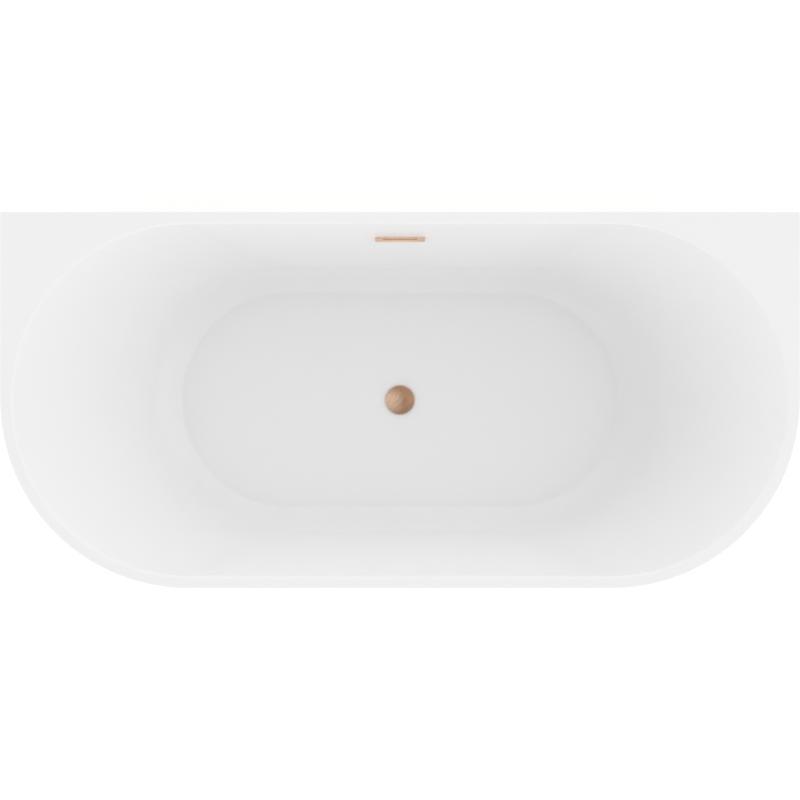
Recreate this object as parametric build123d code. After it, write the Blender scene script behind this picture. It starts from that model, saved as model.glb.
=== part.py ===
from build123d import *
from math import acos, atan2, cos, degrees, hypot, pi, radians, sin, sqrt, tan
import os

# A back-to-wall freestanding bathtub. +X runs along the bath, +Y points at the wall behind it,
# +Z is up, and the origin is on the floor under the middle of the bath. Millimetres.

# Overall size
LENGTH = 1700.0
WIDTH = 800.0
HEIGHT = 600.0
HALF_LENGTH = LENGTH / 2
HALF_WIDTH = WIDTH / 2
CORNER_RADIUS = 400.0          # the two rounded front corners

# Bathing well: every level section is a stadium
RIM_WIDTH = 25.0
WELL_DEPTH = 415.0             # rim to the crease round the floor
FLOOR_HALF_LENGTH = 505.0
FLOOR_HALF_WIDTH = 248.0
SIDE_CORNER_RADIUS = 100.0     # wall to floor, along the sides
END_CORNER_RADIUS = 160.0      # wall to floor, at the ends
SIDE_CREASE_ANGLE = 25.0       # degrees between wall and floor at the crease
END_CREASE_ANGLE = 18.0
FLOOR_FALL = 7.0
DRAIN_FLAT_RADIUS = 45.0

# Shell thicknesses
ACRYLIC = 5.0
LAMINATE = 3.0
SHELL_GAP = 0.2                # bond line between acrylic and laminate
LIP_HEIGHT = 28.0              # the rim's turned-down edge
RIM_EDGE_RADIUS = 5.0
WELL_EDGE_RADIUS = 8.0

# Skirt
SKIRT_TOP = HEIGHT - LIP_HEIGHT - 0.5
SKIRT_BOTTOM = 12.0
SKIRT_WALL = 4.5
SKIRT_END_TAPER = 63.0
SKIRT_FRONT_TAPER = 58.0
SKIRT_RADIUS_TAPER = 48.0
SKIRT_SETBACK = 1.5            # behind the rim's edge, all along the top
FLANGE_WIDTH = 20.0
BACK_WINDOW_TOP = 500.0
BACK_WINDOW_HALF_TOP = 800.0
BACK_WINDOW_HALF_BOTTOM = 740.0

# Levels
FLOOR_Z = HEIGHT - WELL_DEPTH
DRAIN_Z = FLOOR_Z - FLOOR_FALL
BOARD_TOP = 168.0
BOARD_THICKNESS = 16.0
TUBE_WIDE = 40.0
TUBE_HIGH = 20.0
TUBE_WALL = 2.0
TUBE_TOP = BOARD_TOP - BOARD_THICKNESS
TUBE_BOTTOM = TUBE_TOP - TUBE_HIGH

# Frame plan
RAIL_Y = 170.0
RAIL_HALF_LENGTH = 700.0
CROSS_X = (-620.0, -230.0, 230.0, 620.0)
FEET = (
    ("left_back", -620.0, RAIL_Y),
    ("left_front", -620.0, -RAIL_Y),
    ("middle_left", -230.0, 0.0),
    ("middle_right", 230.0, 0.0),
    ("right_back", 620.0, RAIL_Y),
    ("right_front", 620.0, -RAIL_Y),
)
BOARD_LENGTH = 720.0
BOARD_WIDTH = 420.0
BOARD_HOLE_RADIUS = 65.0
BOARD_SCREW_X = 330.0
FRONT_BRACKET_X = 420.0

# Levelling feet, M12
ROD_RADIUS = 6.0
ROD_HOLE_RADIUS = 7.0
NUT_BORE_RADIUS = 6.3
NUT_ACROSS_FLATS = 19.0
HEX_ACROSS_FLATS = 17.0
PAD_RADIUS = 25.0

# Waste, all on the vertical line through the origin
FLANGE_RADIUS = 31.0
THROAT_RADIUS = 23.0
THROAT_BORE = 20.5
CAP_RADIUS = 33.2
RECESS_RADIUS = 32.0           # the step in the floor that the flange lies in
CAP_BOTTOM = DRAIN_Z + 2.4
CAP_TOP = DRAIN_Z + 9.5
INLET_Z = 104.0
OUTLET_Z = 36.0
OUTLET_RADIUS = 20.0
OUTLET_REACH = 130.0
OUTLET_COLLAR_RADIUS = 23.5
OUTLET_COLLAR_REACH = 80.0     # the pipe pushes on up to this collar

# Overflow
OVERFLOW_DEPTH = 113.0         # below the rim, measured at the wall
COVER_LENGTH = 108.0
COVER_HEIGHT = 24.0
COVER_DEPTH = 10.0             # at its top; the front is upright, so it is less lower down
COVER_WALL = 2.0
SLOT_COUNT = 7
SLOT_PITCH = 10.9
SLOT_LENGTH = 8.6
SLOT_WIDTH = 1.5
OVERFLOW_BODY_DEPTH = 34.0
SPIGOT_Y = 373.0
SPIGOT_RADIUS = 11.0
HOSE_RADIUS = 15.0
HOSE_TOP = 451.0
HOSE_END_Y = 60.0
# The hose leaves the overflow straight down and comes level into the waste body: (y, z) points.
HOSE_ROUTE = (
    (SPIGOT_Y, HOSE_TOP),
    (SPIGOT_Y, 355.0),
    (SPIGOT_Y - 2.5, 243.0),
    (326.5, 161.0),
    (243.0, 112.0),
    (150.0, INLET_Z),
    (HOSE_END_Y, INLET_Z),
)

parts = {}


class WallProfile:
    """A well wall in section: straight from the rim, then an arc that meets the floor."""

    def __init__(self, top, floor, radius, crease_angle):
        crease = radians(crease_angle)
        self.radius = radius
        self.centre_x = floor - radius * sin(crease)
        self.centre_z = FLOOR_Z + radius * cos(crease)
        rise = HEIGHT - self.centre_z
        run = top - self.centre_x
        self.lean = acos(radius / hypot(run, rise)) - atan2(rise, run)

    def at(self, z, offset=0.0):
        """Half size at height z, on a surface lying offset outside the wall."""
        radius = self.radius + offset
        if z >= self.centre_z - radius * sin(self.lean):
            return self.centre_x + (radius + sin(self.lean) * (z - self.centre_z)) / cos(self.lean)
        return self.centre_x + sqrt(radius**2 - (z - self.centre_z) ** 2)


SIDE = WallProfile(HALF_WIDTH - RIM_WIDTH, FLOOR_HALF_WIDTH, SIDE_CORNER_RADIUS, SIDE_CREASE_ANGLE)
END = WallProfile(HALF_LENGTH - RIM_WIDTH, FLOOR_HALF_LENGTH, END_CORNER_RADIUS, END_CREASE_ANGLE)
WALL_LEVELS = [HEIGHT - depth for depth in (345, 352, 365, 380, 392, 402, 410)]


def stadium(half_length, half_width, z):
    """Closed outline: two straight sides joined by half circles."""
    straight = half_length - half_width
    right = ThreePointArc((straight, -half_width, z), (half_length, 0, z), (straight, half_width, z))
    left = ThreePointArc((-straight, half_width, z), (-half_length, 0, z), (-straight, -half_width, z))
    return Wire([right.edge(), Edge.make_line(right @ 1, left @ 0), left.edge(), Edge.make_line(left @ 1, right @ 0)])


def d_outline(half_length, front, back, radius, z):
    """Closed outline: square corners at the back, quarter circles at the front."""
    reach = radius * cos(pi / 4)
    x_mid = half_length - radius
    y_mid = front + radius
    left = ThreePointArc((-half_length, y_mid, z), (-x_mid - reach, y_mid - reach, z), (-x_mid, front, z))
    right = ThreePointArc((x_mid, front, z), (x_mid + reach, y_mid - reach, z), (half_length, y_mid, z))
    return Wire(
        [
            Edge.make_line((-half_length, back, z), left @ 0),
            left.edge(),
            Edge.make_line(left @ 1, right @ 0),
            right.edge(),
            Edge.make_line(right @ 1, (half_length, back, z)),
            Edge.make_line((half_length, back, z), (-half_length, back, z)),
        ]
    )


def rim_outline(inset, z):
    """The bath's outer outline, moved inwards."""
    return d_outline(HALF_LENGTH - inset, inset - HALF_WIDTH, HALF_WIDTH - inset, CORNER_RADIUS - inset, z)


def ruled(outlines):
    """A solid through the outlines in turn."""
    return Part() + Solid.make_loft(outlines, ruled=True)


def slab(outline_low, outline_high):
    """A straight-sided solid between two equal outlines."""
    return ruled([outline_low, outline_high])


def tube(radius, bore, low, high):
    """An upright round tube on the Z axis."""
    return Pos(0, 0, low) * extrude(Circle(radius) - Circle(bore), high - low)


def disc(radius, low, high):
    """An upright round bar on the Z axis."""
    return Pos(0, 0, low) * extrude(Circle(radius), high - low)


def hexagon(across_flats, bore, low, high):
    """A hexagon nut or collar on the Z axis."""
    outline = RegularPolygon(across_flats / 2, 6, major_radius=False)
    if bore:
        outline = outline - Circle(bore)
    return Pos(0, 0, low) * extrude(outline, high - low)


def block(x, y, z):
    """A box between (low, high) pairs."""
    size = [high - low for low, high in (x, y, z)]
    middle = [(high + low) / 2 for low, high in (x, y, z)]
    return Pos(*middle) * Box(*size)


def group(solids):
    """Several separate solids that share one node."""
    return Compound(children=[solid for shape in solids for solid in shape.solids()])


def keep(name, shape):
    """Note a sub-part under its node name."""
    parts[name] = shape


def well_volume(offset, top):
    """The space inside a surface lying offset outside the well wall, up to height top."""
    floor_z = FLOOR_Z - offset
    outlines = [stadium(DRAIN_FLAT_RADIUS + 1, DRAIN_FLAT_RADIUS, DRAIN_Z - offset)]
    for z in [floor_z] + WALL_LEVELS[::-1] + [top]:
        outlines.append(stadium(END.at(z, offset), SIDE.at(z, offset), z))
    return ruled(outlines)


def overflow_plane():
    """Local frame on the back wall: X along the bath, Y up the wall, Z into the bath."""
    z = HEIGHT - OVERFLOW_DEPTH
    return Plane(
        origin=(0, SIDE.at(z), z),
        x_dir=(1, 0, 0),
        z_dir=(0, -cos(SIDE.lean), sin(SIDE.lean)),
    )


def on_overflow(shape):
    """Move a shape from the overflow's local frame into the bath."""
    return overflow_plane().location * shape


def overflow_hole(half_length, half_height):
    """A cut right through the wall for the overflow's throat and its two screws."""
    cut = block((-half_length, half_length), (-half_height, half_height), (-20, 6))
    for side in (-1, 1):
        cut += Pos(side * 44, 0, -20) * extrude(Circle(2.7), 26)
    return on_overflow(cut)


def make_basin():
    """The white acrylic shell: rim, turned-down lip and bathing well in one sheet."""
    plate = slab(rim_outline(0, HEIGHT - ACRYLIC), rim_outline(0, HEIGHT))
    lip = slab(rim_outline(0, HEIGHT - LIP_HEIGHT), rim_outline(0, HEIGHT))
    lip -= slab(rim_outline(ACRYLIC, HEIGHT - LIP_HEIGHT - 1), rim_outline(ACRYLIC, HEIGHT - ACRYLIC))
    basin = plate + lip + well_volume(ACRYLIC, HEIGHT - ACRYLIC / 2)
    basin -= well_volume(0, HEIGHT + 20)
    top_edges = basin.edges().filter_by_position(Axis.Z, HEIGHT - 0.01, HEIGHT + 0.01)
    inner = [edge for edge in top_edges if abs(edge.center().X) < 500 and abs(edge.center().Y) < 380]
    inner += [edge for edge in top_edges if 500 < abs(edge.center().X) < 830 and abs(edge.center().Y) < 1]
    basin = fillet(inner, WELL_EDGE_RADIUS)
    outer = [
        edge
        for edge in basin.edges().filter_by_position(Axis.Z, HEIGHT - 0.01, HEIGHT + 0.01)
        if edge.bounding_box().max.Y > HALF_WIDTH - 1 or edge.bounding_box().min.Y < 1 - HALF_WIDTH
    ]
    basin = fillet(outer, RIM_EDGE_RADIUS)
    basin -= disc(RECESS_RADIUS, DRAIN_Z - 2, DRAIN_Z + 20)
    basin -= disc(25, DRAIN_Z - 40, DRAIN_Z + 20)
    basin -= overflow_hole(35, 8)
    keep("basin", basin)


def make_basin_laminate():
    """Glass-fibre and resin sprayed on the well's underside."""
    top = HEIGHT - 12
    inner = ACRYLIC + SHELL_GAP
    laminate = well_volume(inner + LAMINATE, top) - well_volume(inner, top + 1)
    laminate -= disc(27, DRAIN_Z - 40, DRAIN_Z + 20)
    laminate -= overflow_hole(35, 8)
    keep("basin_laminate", laminate)


def skirt_outline(inset, z):
    """The skirt's level section: it tapers in towards the floor, slowly at first."""
    drop = ((SKIRT_TOP - z) / (SKIRT_TOP - SKIRT_BOTTOM)) ** 1.5
    setback = SKIRT_SETBACK + inset
    return d_outline(
        HALF_LENGTH - setback - SKIRT_END_TAPER * drop,
        setback + SKIRT_FRONT_TAPER * drop - HALF_WIDTH,
        HALF_WIDTH - inset,
        CORNER_RADIUS - setback - SKIRT_RADIUS_TAPER * drop,
        z,
    )


def skirt_shell(outer, inner, low, high):
    """A shell between two insets of the skirt's outline, cut off level at low and high."""
    levels = 8
    heights = [SKIRT_BOTTOM + (SKIRT_TOP - SKIRT_BOTTOM) * step / (levels - 1) for step in range(levels)]
    shell = ruled([skirt_outline(outer, z) for z in heights])
    shell -= ruled([skirt_outline(inner, z) for z in heights])
    return shell & block((-HALF_LENGTH, HALF_LENGTH), (-HALF_WIDTH, HALF_WIDTH), (low, high))


def back_window(margin):
    """The open back of the skirt, where the pipework is reached: wider at the top."""
    top = BACK_WINDOW_TOP - margin
    outline = Polyline(
        (-BACK_WINDOW_HALF_BOTTOM + margin, -10),
        (BACK_WINDOW_HALF_BOTTOM - margin, -10),
        (BACK_WINDOW_HALF_TOP - margin, top),
        (-BACK_WINDOW_HALF_TOP + margin, top),
        close=True,
    )
    face = Plane.XZ * make_face(outline)
    return Pos(0, HALF_WIDTH + 10, 0) * extrude(face, 150)


def make_skirt():
    """The acrylic apron round the front and ends, with a flange turned in at the floor."""
    skirt = skirt_shell(0, SKIRT_WALL, SKIRT_BOTTOM, SKIRT_TOP)
    flange_top = SKIRT_BOTTOM + SKIRT_WALL
    flange = slab(skirt_outline(1, SKIRT_BOTTOM), skirt_outline(1, flange_top))
    flange -= slab(
        skirt_outline(SKIRT_WALL + FLANGE_WIDTH, SKIRT_BOTTOM - 1),
        skirt_outline(SKIRT_WALL + FLANGE_WIDTH, flange_top + 1),
    )
    skirt = skirt + flange - back_window(0)
    for x, y in bracket_screw_places():
        skirt -= Pos(x, y, 0) * disc(2.7, 0, 30)
    keep("skirt", skirt)


def make_skirt_laminate():
    """Glass-fibre backing inside the skirt, clear of its flange and of the bonding strip."""
    inner = SKIRT_WALL + SHELL_GAP
    laminate = skirt_shell(inner, inner + 2.5, 22, 538) - back_window(-12)
    keep("skirt_laminate", laminate)


def make_rim_strip():
    """The moulded strip that bonds the skirt's top edge up inside the rim's lip."""
    outer = 9
    strip = slab(rim_outline(outer, 540), rim_outline(outer, 590))
    strip -= slab(rim_outline(outer + 4, 539), rim_outline(outer + 4, 591))
    keep("rim_joint_strip", strip)


def make_base_board():
    """The board laid into the laminate under the floor, which carries the bather."""
    board = block(
        (-BOARD_LENGTH / 2, BOARD_LENGTH / 2),
        (-BOARD_WIDTH / 2, BOARD_WIDTH / 2),
        (TUBE_TOP, BOARD_TOP),
    )
    board = fillet(board.edges().filter_by(Axis.Z), 40)
    board -= disc(BOARD_HOLE_RADIUS, TUBE_TOP - 1, BOARD_TOP + 1)
    for x, y in board_screw_places():
        board -= Pos(x, y, 0) * disc(2.6, TUBE_TOP - 1, TUBE_TOP + 13)
    keep("base_board", board)


def board_screw_places():
    return [(x, y) for x in (-BOARD_SCREW_X, BOARD_SCREW_X) for y in (-RAIL_Y, RAIL_Y)]


def frame_tube(x, y):
    """A length of rectangular steel tube lying flat, hollow along its longer side."""
    outer = block(x, y, (TUBE_BOTTOM, TUBE_TOP))
    inner_z = (TUBE_BOTTOM + TUBE_WALL, TUBE_TOP - TUBE_WALL)
    if x[1] - x[0] > y[1] - y[0]:
        return outer - block((x[0] - 1, x[1] + 1), (y[0] + TUBE_WALL, y[1] - TUBE_WALL), inner_z)
    return outer - block((x[0] + TUBE_WALL, x[1] - TUBE_WALL), (y[0] - 1, y[1] + 1), inner_z)


def make_frame():
    """Two rails, four cross tubes, and the plugs in the rails' open ends."""
    half = TUBE_WIDE / 2
    for name, y in (("front", -RAIL_Y), ("back", RAIL_Y)):
        rail = frame_tube((-RAIL_HALF_LENGTH, RAIL_HALF_LENGTH), (y - half, y + half))
        for _, foot_x, foot_y in FEET:
            if foot_y == y:
                rail -= Pos(foot_x, y, 0) * disc(ROD_HOLE_RADIUS, TUBE_BOTTOM - 1, TUBE_TOP + 1)
        for screw_x in (-BOARD_SCREW_X, BOARD_SCREW_X):
            rail -= Pos(screw_x, y, 0) * disc(2.7, TUBE_BOTTOM - 1, TUBE_TOP + 1)
        keep(f"frame_rail_{name}", rail)
    for index, x in enumerate(CROSS_X, start=1):
        cross = frame_tube((x - half, x + half), (half - RAIL_Y, RAIL_Y - half))
        for _, foot_x, foot_y in FEET:
            if foot_x == x and foot_y == 0:
                cross -= Pos(x, 0, 0) * disc(ROD_HOLE_RADIUS, TUBE_BOTTOM - 1, TUBE_TOP + 1)
        keep(f"frame_cross_{index}", cross)


def make_end_plugs():
    """Push-in plastic plugs closing the rails' four ends."""
    reach = TUBE_WIDE / 2 - TUBE_WALL - 0.1
    inner_z = (TUBE_BOTTOM + TUBE_WALL + 0.1, TUBE_TOP - TUBE_WALL - 0.1)
    plugs = []
    for side in (-1, 1):
        for y in (-RAIL_Y, RAIL_Y):
            end = RAIL_HALF_LENGTH
            head = block((end, end + 3), (y - TUBE_WIDE / 2, y + TUBE_WIDE / 2), (TUBE_BOTTOM, TUBE_TOP))
            head = fillet(head.edges().filter_by(Axis.X), 2)
            plug = head + block((end - 12, end), (y - reach, y + reach), inner_z)
            plugs.append(plug if side > 0 else mirror(plug, about=Plane.YZ))
    keep("rail_end_plugs", group(plugs))


def make_board_screws():
    """Wood screws up through the rails into the board."""
    screws = []
    for x, y in board_screw_places():
        screw = disc(4.5, TUBE_BOTTOM - 3, TUBE_BOTTOM) + disc(2.4, TUBE_BOTTOM, TUBE_TOP + 12)
        screws.append(Pos(x, y, 0) * screw)
    keep("board_screws", group(screws))


def make_foot_nuts():
    """A nut welded under the frame at each foot, and the lock nut that holds the setting."""
    weld_low = TUBE_BOTTOM - 10
    weld = hexagon(NUT_ACROSS_FLATS, NUT_BORE_RADIUS, weld_low, TUBE_BOTTOM)
    lock = hexagon(NUT_ACROSS_FLATS, NUT_BORE_RADIUS, weld_low - 6, weld_low)
    keep("weld_nuts", group([Pos(x, y, 0) * weld for _, x, y in FEET]))
    keep("lock_nuts", group([Pos(x, y, 0) * lock for _, x, y in FEET]))


def make_feet():
    """Each levelling foot: a swivel pad, and a threaded rod with a hexagon to turn it by."""
    pad = disc(PAD_RADIUS, 0, 5) + disc(11, 5, 14)
    pad = fillet(pad.edges().filter_by_position(Axis.Z, 4.9, 5.1).sort_by(SortBy.LENGTH)[-1], 2)
    pad -= disc(ROD_RADIUS + 0.06, 6, 15)
    rod = disc(ROD_RADIUS, 6.2, TUBE_TOP - 3) + hexagon(HEX_ACROSS_FLATS, 0, 20, 30)
    rod = chamfer(rod.edges().filter_by_position(Axis.Z, TUBE_TOP - 3.1, TUBE_TOP - 2.9), 1)
    for name, x, y in FEET:
        keep(f"foot_pad_{name}", Pos(x, y, 0) * pad)
        keep(f"foot_rod_{name}", Pos(x, y, 0) * rod)


def bracket(reach):
    """A bent steel strip, in XZ: under the tube, down, and out over the skirt's flange."""
    foot = SKIRT_BOTTOM + SKIRT_WALL + 0.1
    outline = Polyline(
        (-36, TUBE_BOTTOM),
        (reach, TUBE_BOTTOM),
        (reach, foot + 3),
        (reach + 18, foot + 3),
        (reach + 18, foot),
        (reach - 3, foot),
        (reach - 3, TUBE_BOTTOM - 3),
        (-36, TUBE_BOTTOM - 3),
        close=True,
    )
    strip = extrude(Plane.XZ * make_face(outline), 15, both=True)
    return strip - Pos(reach + 10, 0, 0) * disc(2.7, 0, 30)


FRONT_REACH = 127.0            # from the front rail out to the bracket's bend
END_REACH = 60.0               # from the back rail's end out to the bracket's bend


def bracket_screw_places():
    """Centres of the screws through the brackets' feet."""
    front_y = -RAIL_Y - TUBE_WIDE / 2 - FRONT_REACH - 10
    end_x = RAIL_HALF_LENGTH + END_REACH + 10
    return [(side * FRONT_BRACKET_X, front_y) for side in (-1, 1)] + [(side * end_x, RAIL_Y) for side in (-1, 1)]


def make_skirt_brackets():
    """Four bent strips holding the skirt to the frame, and their screws."""
    front_y = -RAIL_Y - TUBE_WIDE / 2
    strips = [Pos(side * FRONT_BRACKET_X, front_y, 0) * Rot(0, 0, -90) * bracket(FRONT_REACH) for side in (-1, 1)]
    strips.append(Pos(RAIL_HALF_LENGTH, RAIL_Y, 0) * bracket(END_REACH))
    strips.append(Pos(-RAIL_HALF_LENGTH, RAIL_Y, 0) * Rot(0, 0, 180) * bracket(END_REACH))
    keep("skirt_brackets", group(strips))
    foot = SKIRT_BOTTOM + SKIRT_WALL + 3.1
    screw = disc(2.5, SKIRT_BOTTOM + 0.5, foot) + disc(5, foot, foot + 3)
    keep("skirt_screws", group([Pos(x, y, 0) * screw for x, y in bracket_screw_places()]))


def make_waste_flange():
    """The flange in the floor, its throat, and the spider that carries the plug's cartridge."""
    flange = disc(FLANGE_RADIUS, DRAIN_Z - 1, DRAIN_Z + 2) + disc(THROAT_RADIUS, 150, DRAIN_Z - 1)
    flange = fillet(flange.edges().filter_by_position(Axis.Z, DRAIN_Z + 1.9, DRAIN_Z + 2.1), 1.2)
    flange -= disc(THROAT_BORE, 149, DRAIN_Z + 3)
    spider = block((-THROAT_BORE - 1, THROAT_BORE + 1), (-2, 2), (150, 155))
    spider += block((-2, 2), (-THROAT_BORE - 1, THROAT_BORE + 1), (150, 155))
    spider += disc(8.5, 150, 158)
    keep("waste_flange", flange + spider - disc(6, 149, 160))


def make_waste_gaskets():
    """Soft rings above and below the floor, squeezed by the flange and the body."""
    keep("flange_gasket", tube(30, 24, DRAIN_Z - 2, DRAIN_Z - 1))
    underside = DRAIN_Z - ACRYLIC - SHELL_GAP - LAMINATE
    keep("body_gasket", tube(37, 27, underside - 3, underside))
    return underside - 3


def make_waste_body(top):
    """The cup under the floor: a side inlet for the overflow and a threaded tail below."""
    body = disc(38, top - 5, top) + disc(28, 86, top - 5) + disc(24, 70, 86)
    body -= disc(THROAT_RADIUS + 0.5, 120, top + 1)
    body -= disc(19.5, 69, 121)
    inlet = Plane(origin=(0, 20, INLET_Z), x_dir=(1, 0, 0), z_dir=(0, 1, 0))
    body += inlet * extrude(Circle(12) - Circle(9.5), HOSE_END_Y - 20)
    body -= inlet * extrude(Circle(9.5), HOSE_END_Y - 19)
    keep("waste_body", body)
    nut = Plane(origin=(0, 44, INLET_Z), x_dir=(1, 0, 0), z_dir=(0, 1, 0))
    keep("hose_nut_lower", nut * extrude(RegularPolygon(18, 12) - Circle(12.05), HOSE_END_Y - 44))


def make_plug():
    """The click-clack plug: cartridge fixed in the spider, stem, seal and domed cap above."""
    cartridge = disc(5.95, 138, 166) - disc(3.4, 141, 167)
    keep("plug_cartridge", cartridge)
    keep("plug_stem", disc(3.3, 142, 181))
    keep("plug_spring", tube(5.4, 3.8, 166, 178))
    keep("plug_seal", tube(20.1, 15, DRAIN_Z - 1, CAP_BOTTOM))
    keep("drain_cap", drain_cap())


def drain_cap():
    """A shallow dome with a rolled edge, and a boss underneath that the stem enters."""
    shoulder = CAP_BOTTOM + 3
    rise = CAP_TOP - shoulder
    dome_radius = (CAP_RADIUS**2 + rise**2) / (2 * rise)
    cap = disc(CAP_RADIUS, CAP_BOTTOM, CAP_TOP)
    cap &= Pos(0, 0, CAP_TOP - dome_radius) * Sphere(dome_radius)
    cap = fillet(cap.edges().filter_by_position(Axis.Z, shoulder - 0.05, shoulder + 0.05), 1.5)
    cap += disc(7, 178, CAP_BOTTOM + 1)
    return cap - disc(3.35, 177, 181)


def make_trap():
    """Bottle trap: a nut on the waste tail, a dip tube on a lid, and the bowl that turns."""
    nut = disc(31, 61, 80) - disc(24.1, 64, 81) - disc(20.6, 60, 65)
    for step in range(12):
        nut -= Rot(0, 0, step * 30) * Pos(32.2, 0, 60) * extrude(Circle(2.4), 21)
    keep("trap_nut", nut)
    keep("trap_washer", tube(23.5, 18, 67.2, 69.8))
    lid = disc(23.3, 64.2, 67) + disc(20, 55, 64.2) + disc(46.8, 54.5, 58) + disc(19, 22, 55)
    keep("trap_lid", lid - disc(16.5, 21, 68))
    outlet = Plane(origin=(0, 40, OUTLET_Z), x_dir=(1, 0, 0), z_dir=(0, 1, 0))
    bowl = disc(50, 10, 60) + outlet * extrude(Circle(OUTLET_RADIUS), OUTLET_REACH - 40)
    bowl += outlet * extrude(Circle(OUTLET_COLLAR_RADIUS), OUTLET_COLLAR_REACH - 40)
    bowl -= disc(47, 13, 61)
    bowl -= outlet * extrude(Circle(OUTLET_RADIUS - 2.5), OUTLET_REACH - 39)
    keep("trap_bowl", bowl)


def make_overflow():
    """Overflow: slotted cover in the bath, gasket and body behind the wall, nut and spigot."""
    keep("overflow_cover", on_overflow(overflow_cover()))
    back = -(ACRYLIC + SHELL_GAP + LAMINATE)
    gasket = block((-50, 50), (-12, 12), (back - 2, back)) - block((-35, 35), (-8, 8), (back - 3, back + 1))
    holes = [Pos(side * 44, 0, -40) * extrude(Circle(2.4), 60) for side in (-1, 1)]
    body = block((-50, 50), (-12, 12), (back - 4, back - 2)) + block(
        (-36, 36), (-12, 12), (-OVERFLOW_BODY_DEPTH, back - 2)
    )
    body -= block((-34, 34), (-10, 10), (2 - OVERFLOW_BODY_DEPTH, back))
    for hole in holes:
        gasket -= hole
        body -= hole
    spigot = Pos(0, SPIGOT_Y, HOSE_TOP) * extrude(Circle(SPIGOT_RADIUS), 24)
    bore = Pos(0, SPIGOT_Y, HOSE_TOP - 1) * extrude(Circle(SPIGOT_RADIUS - 2.5), 30)
    keep("overflow_gasket", on_overflow(gasket))
    keep("overflow_body", on_overflow(body) + spigot - bore)
    nut = Pos(0, SPIGOT_Y, HOSE_TOP) * extrude(RegularPolygon(16.2, 12) - Circle(SPIGOT_RADIUS + 0.05), 15)
    keep("hose_nut_upper", nut)
    screw = Pos(0, 0, back - 7) * extrude(Circle(4), 3) + Pos(0, 0, back - 4) * extrude(Circle(2.2), 17)
    keep("overflow_screws", group([on_overflow(Pos(side * 44, 0, 0) * screw) for side in (-1, 1)]))


def cover_block(margin, low):
    """The cover's outline moved in by margin, from low to its front, which is upright like the room's walls."""
    half_height = COVER_HEIGHT / 2
    inset = margin / cos(SIDE.lean)
    top_depth = COVER_DEPTH - margin * tan(SIDE.lean) - inset
    low_depth = COVER_DEPTH - (COVER_HEIGHT - margin) * tan(SIDE.lean) - inset
    outline = Polyline(
        (half_height - margin, low),
        (half_height - margin, top_depth),
        (margin - half_height, low_depth),
        (margin - half_height, low),
        close=True,
    )
    return extrude(Plane.YZ * make_face(outline), COVER_LENGTH / 2 - margin, both=True)


def overflow_cover():
    """A slim box with a row of slots in its top, open at the back, in the local frame."""
    cover = cover_block(0, 0.1)
    back = cover.edges().filter_by_position(Axis.Z, 0.05, 0.15)
    cover = fillet([edge for edge in cover.edges() if edge not in back], 1)
    cover -= cover_block(COVER_WALL, -1)
    for index in range(SLOT_COUNT):
        x = (index - (SLOT_COUNT - 1) / 2) * SLOT_PITCH
        slot = Plane(origin=(x, COVER_HEIGHT / 2 - 3, COVER_DEPTH / 2), x_dir=(1, 0, 0), z_dir=(0, 1, 0))
        cover -= slot * extrude(SlotOverall(SLOT_LENGTH, SLOT_WIDTH), 6)
    for side in (-1, 1):
        cover += Pos(side * 44, 0, 0.2) * extrude(Circle(4.5), 5.8)
        cover -= Pos(side * 44, 0, 0) * extrude(Circle(2.25), 5.2)
    return cover


def make_hose():
    """The overflow hose: straight runs joined by arcs as large as the runs allow."""
    points = [Vector(0, y, z) for y, z in HOSE_ROUTE]
    runs = [b - a for a, b in zip(points, points[1:])]
    radii = []
    for before, after in zip(runs, runs[1:]):
        turn = radians(before.get_angle(after))
        radii.append(0.45 * min(before.length, after.length) / tan(turn / 2))
    path = FilletPolyline(*points, radius=radii)
    section = Plane(origin=points[0], z_dir=path % 0) * Circle(HOSE_RADIUS)
    hose = sweep(section, path=path)
    expected = pi * HOSE_RADIUS**2 * path.length
    print("hose length", round(path.length, 1), "bend radii", [round(radius) for radius in radii])
    print("hose volume over section times length", round(hose.volume / expected, 5))
    keep("overflow_hose", hose)


def main():
    os.makedirs("parts", exist_ok=True)
    make_basin()
    make_basin_laminate()
    make_skirt()
    make_skirt_laminate()
    make_rim_strip()
    make_base_board()
    make_frame()
    make_end_plugs()
    make_board_screws()
    make_foot_nuts()
    make_feet()
    make_skirt_brackets()
    make_waste_flange()
    make_waste_body(make_waste_gaskets())
    make_plug()
    make_trap()
    make_overflow()
    make_hose()
    print("wall lean", round(degrees(SIDE.lean), 2), round(degrees(END.lean), 2))
    for name, shape in parts.items():
        export_step(shape, f"parts/{name}.step")
    print(len(parts), "nodes")


main()
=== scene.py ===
# %% [markdown]
# # A back-to-wall bath
#
# The bath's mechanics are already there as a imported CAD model: fifty nodes on moving bodies. This lesson gives it
# its looks. Every new surface is worked out as an array of points, every finish is a small node tree, and each new
# piece rides on the CAD body that it belongs to, in metres, in the CAD model's own frame.

# %% Load the frame
from math import acos, atan2, cos, hypot, pi, radians, sin

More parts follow.
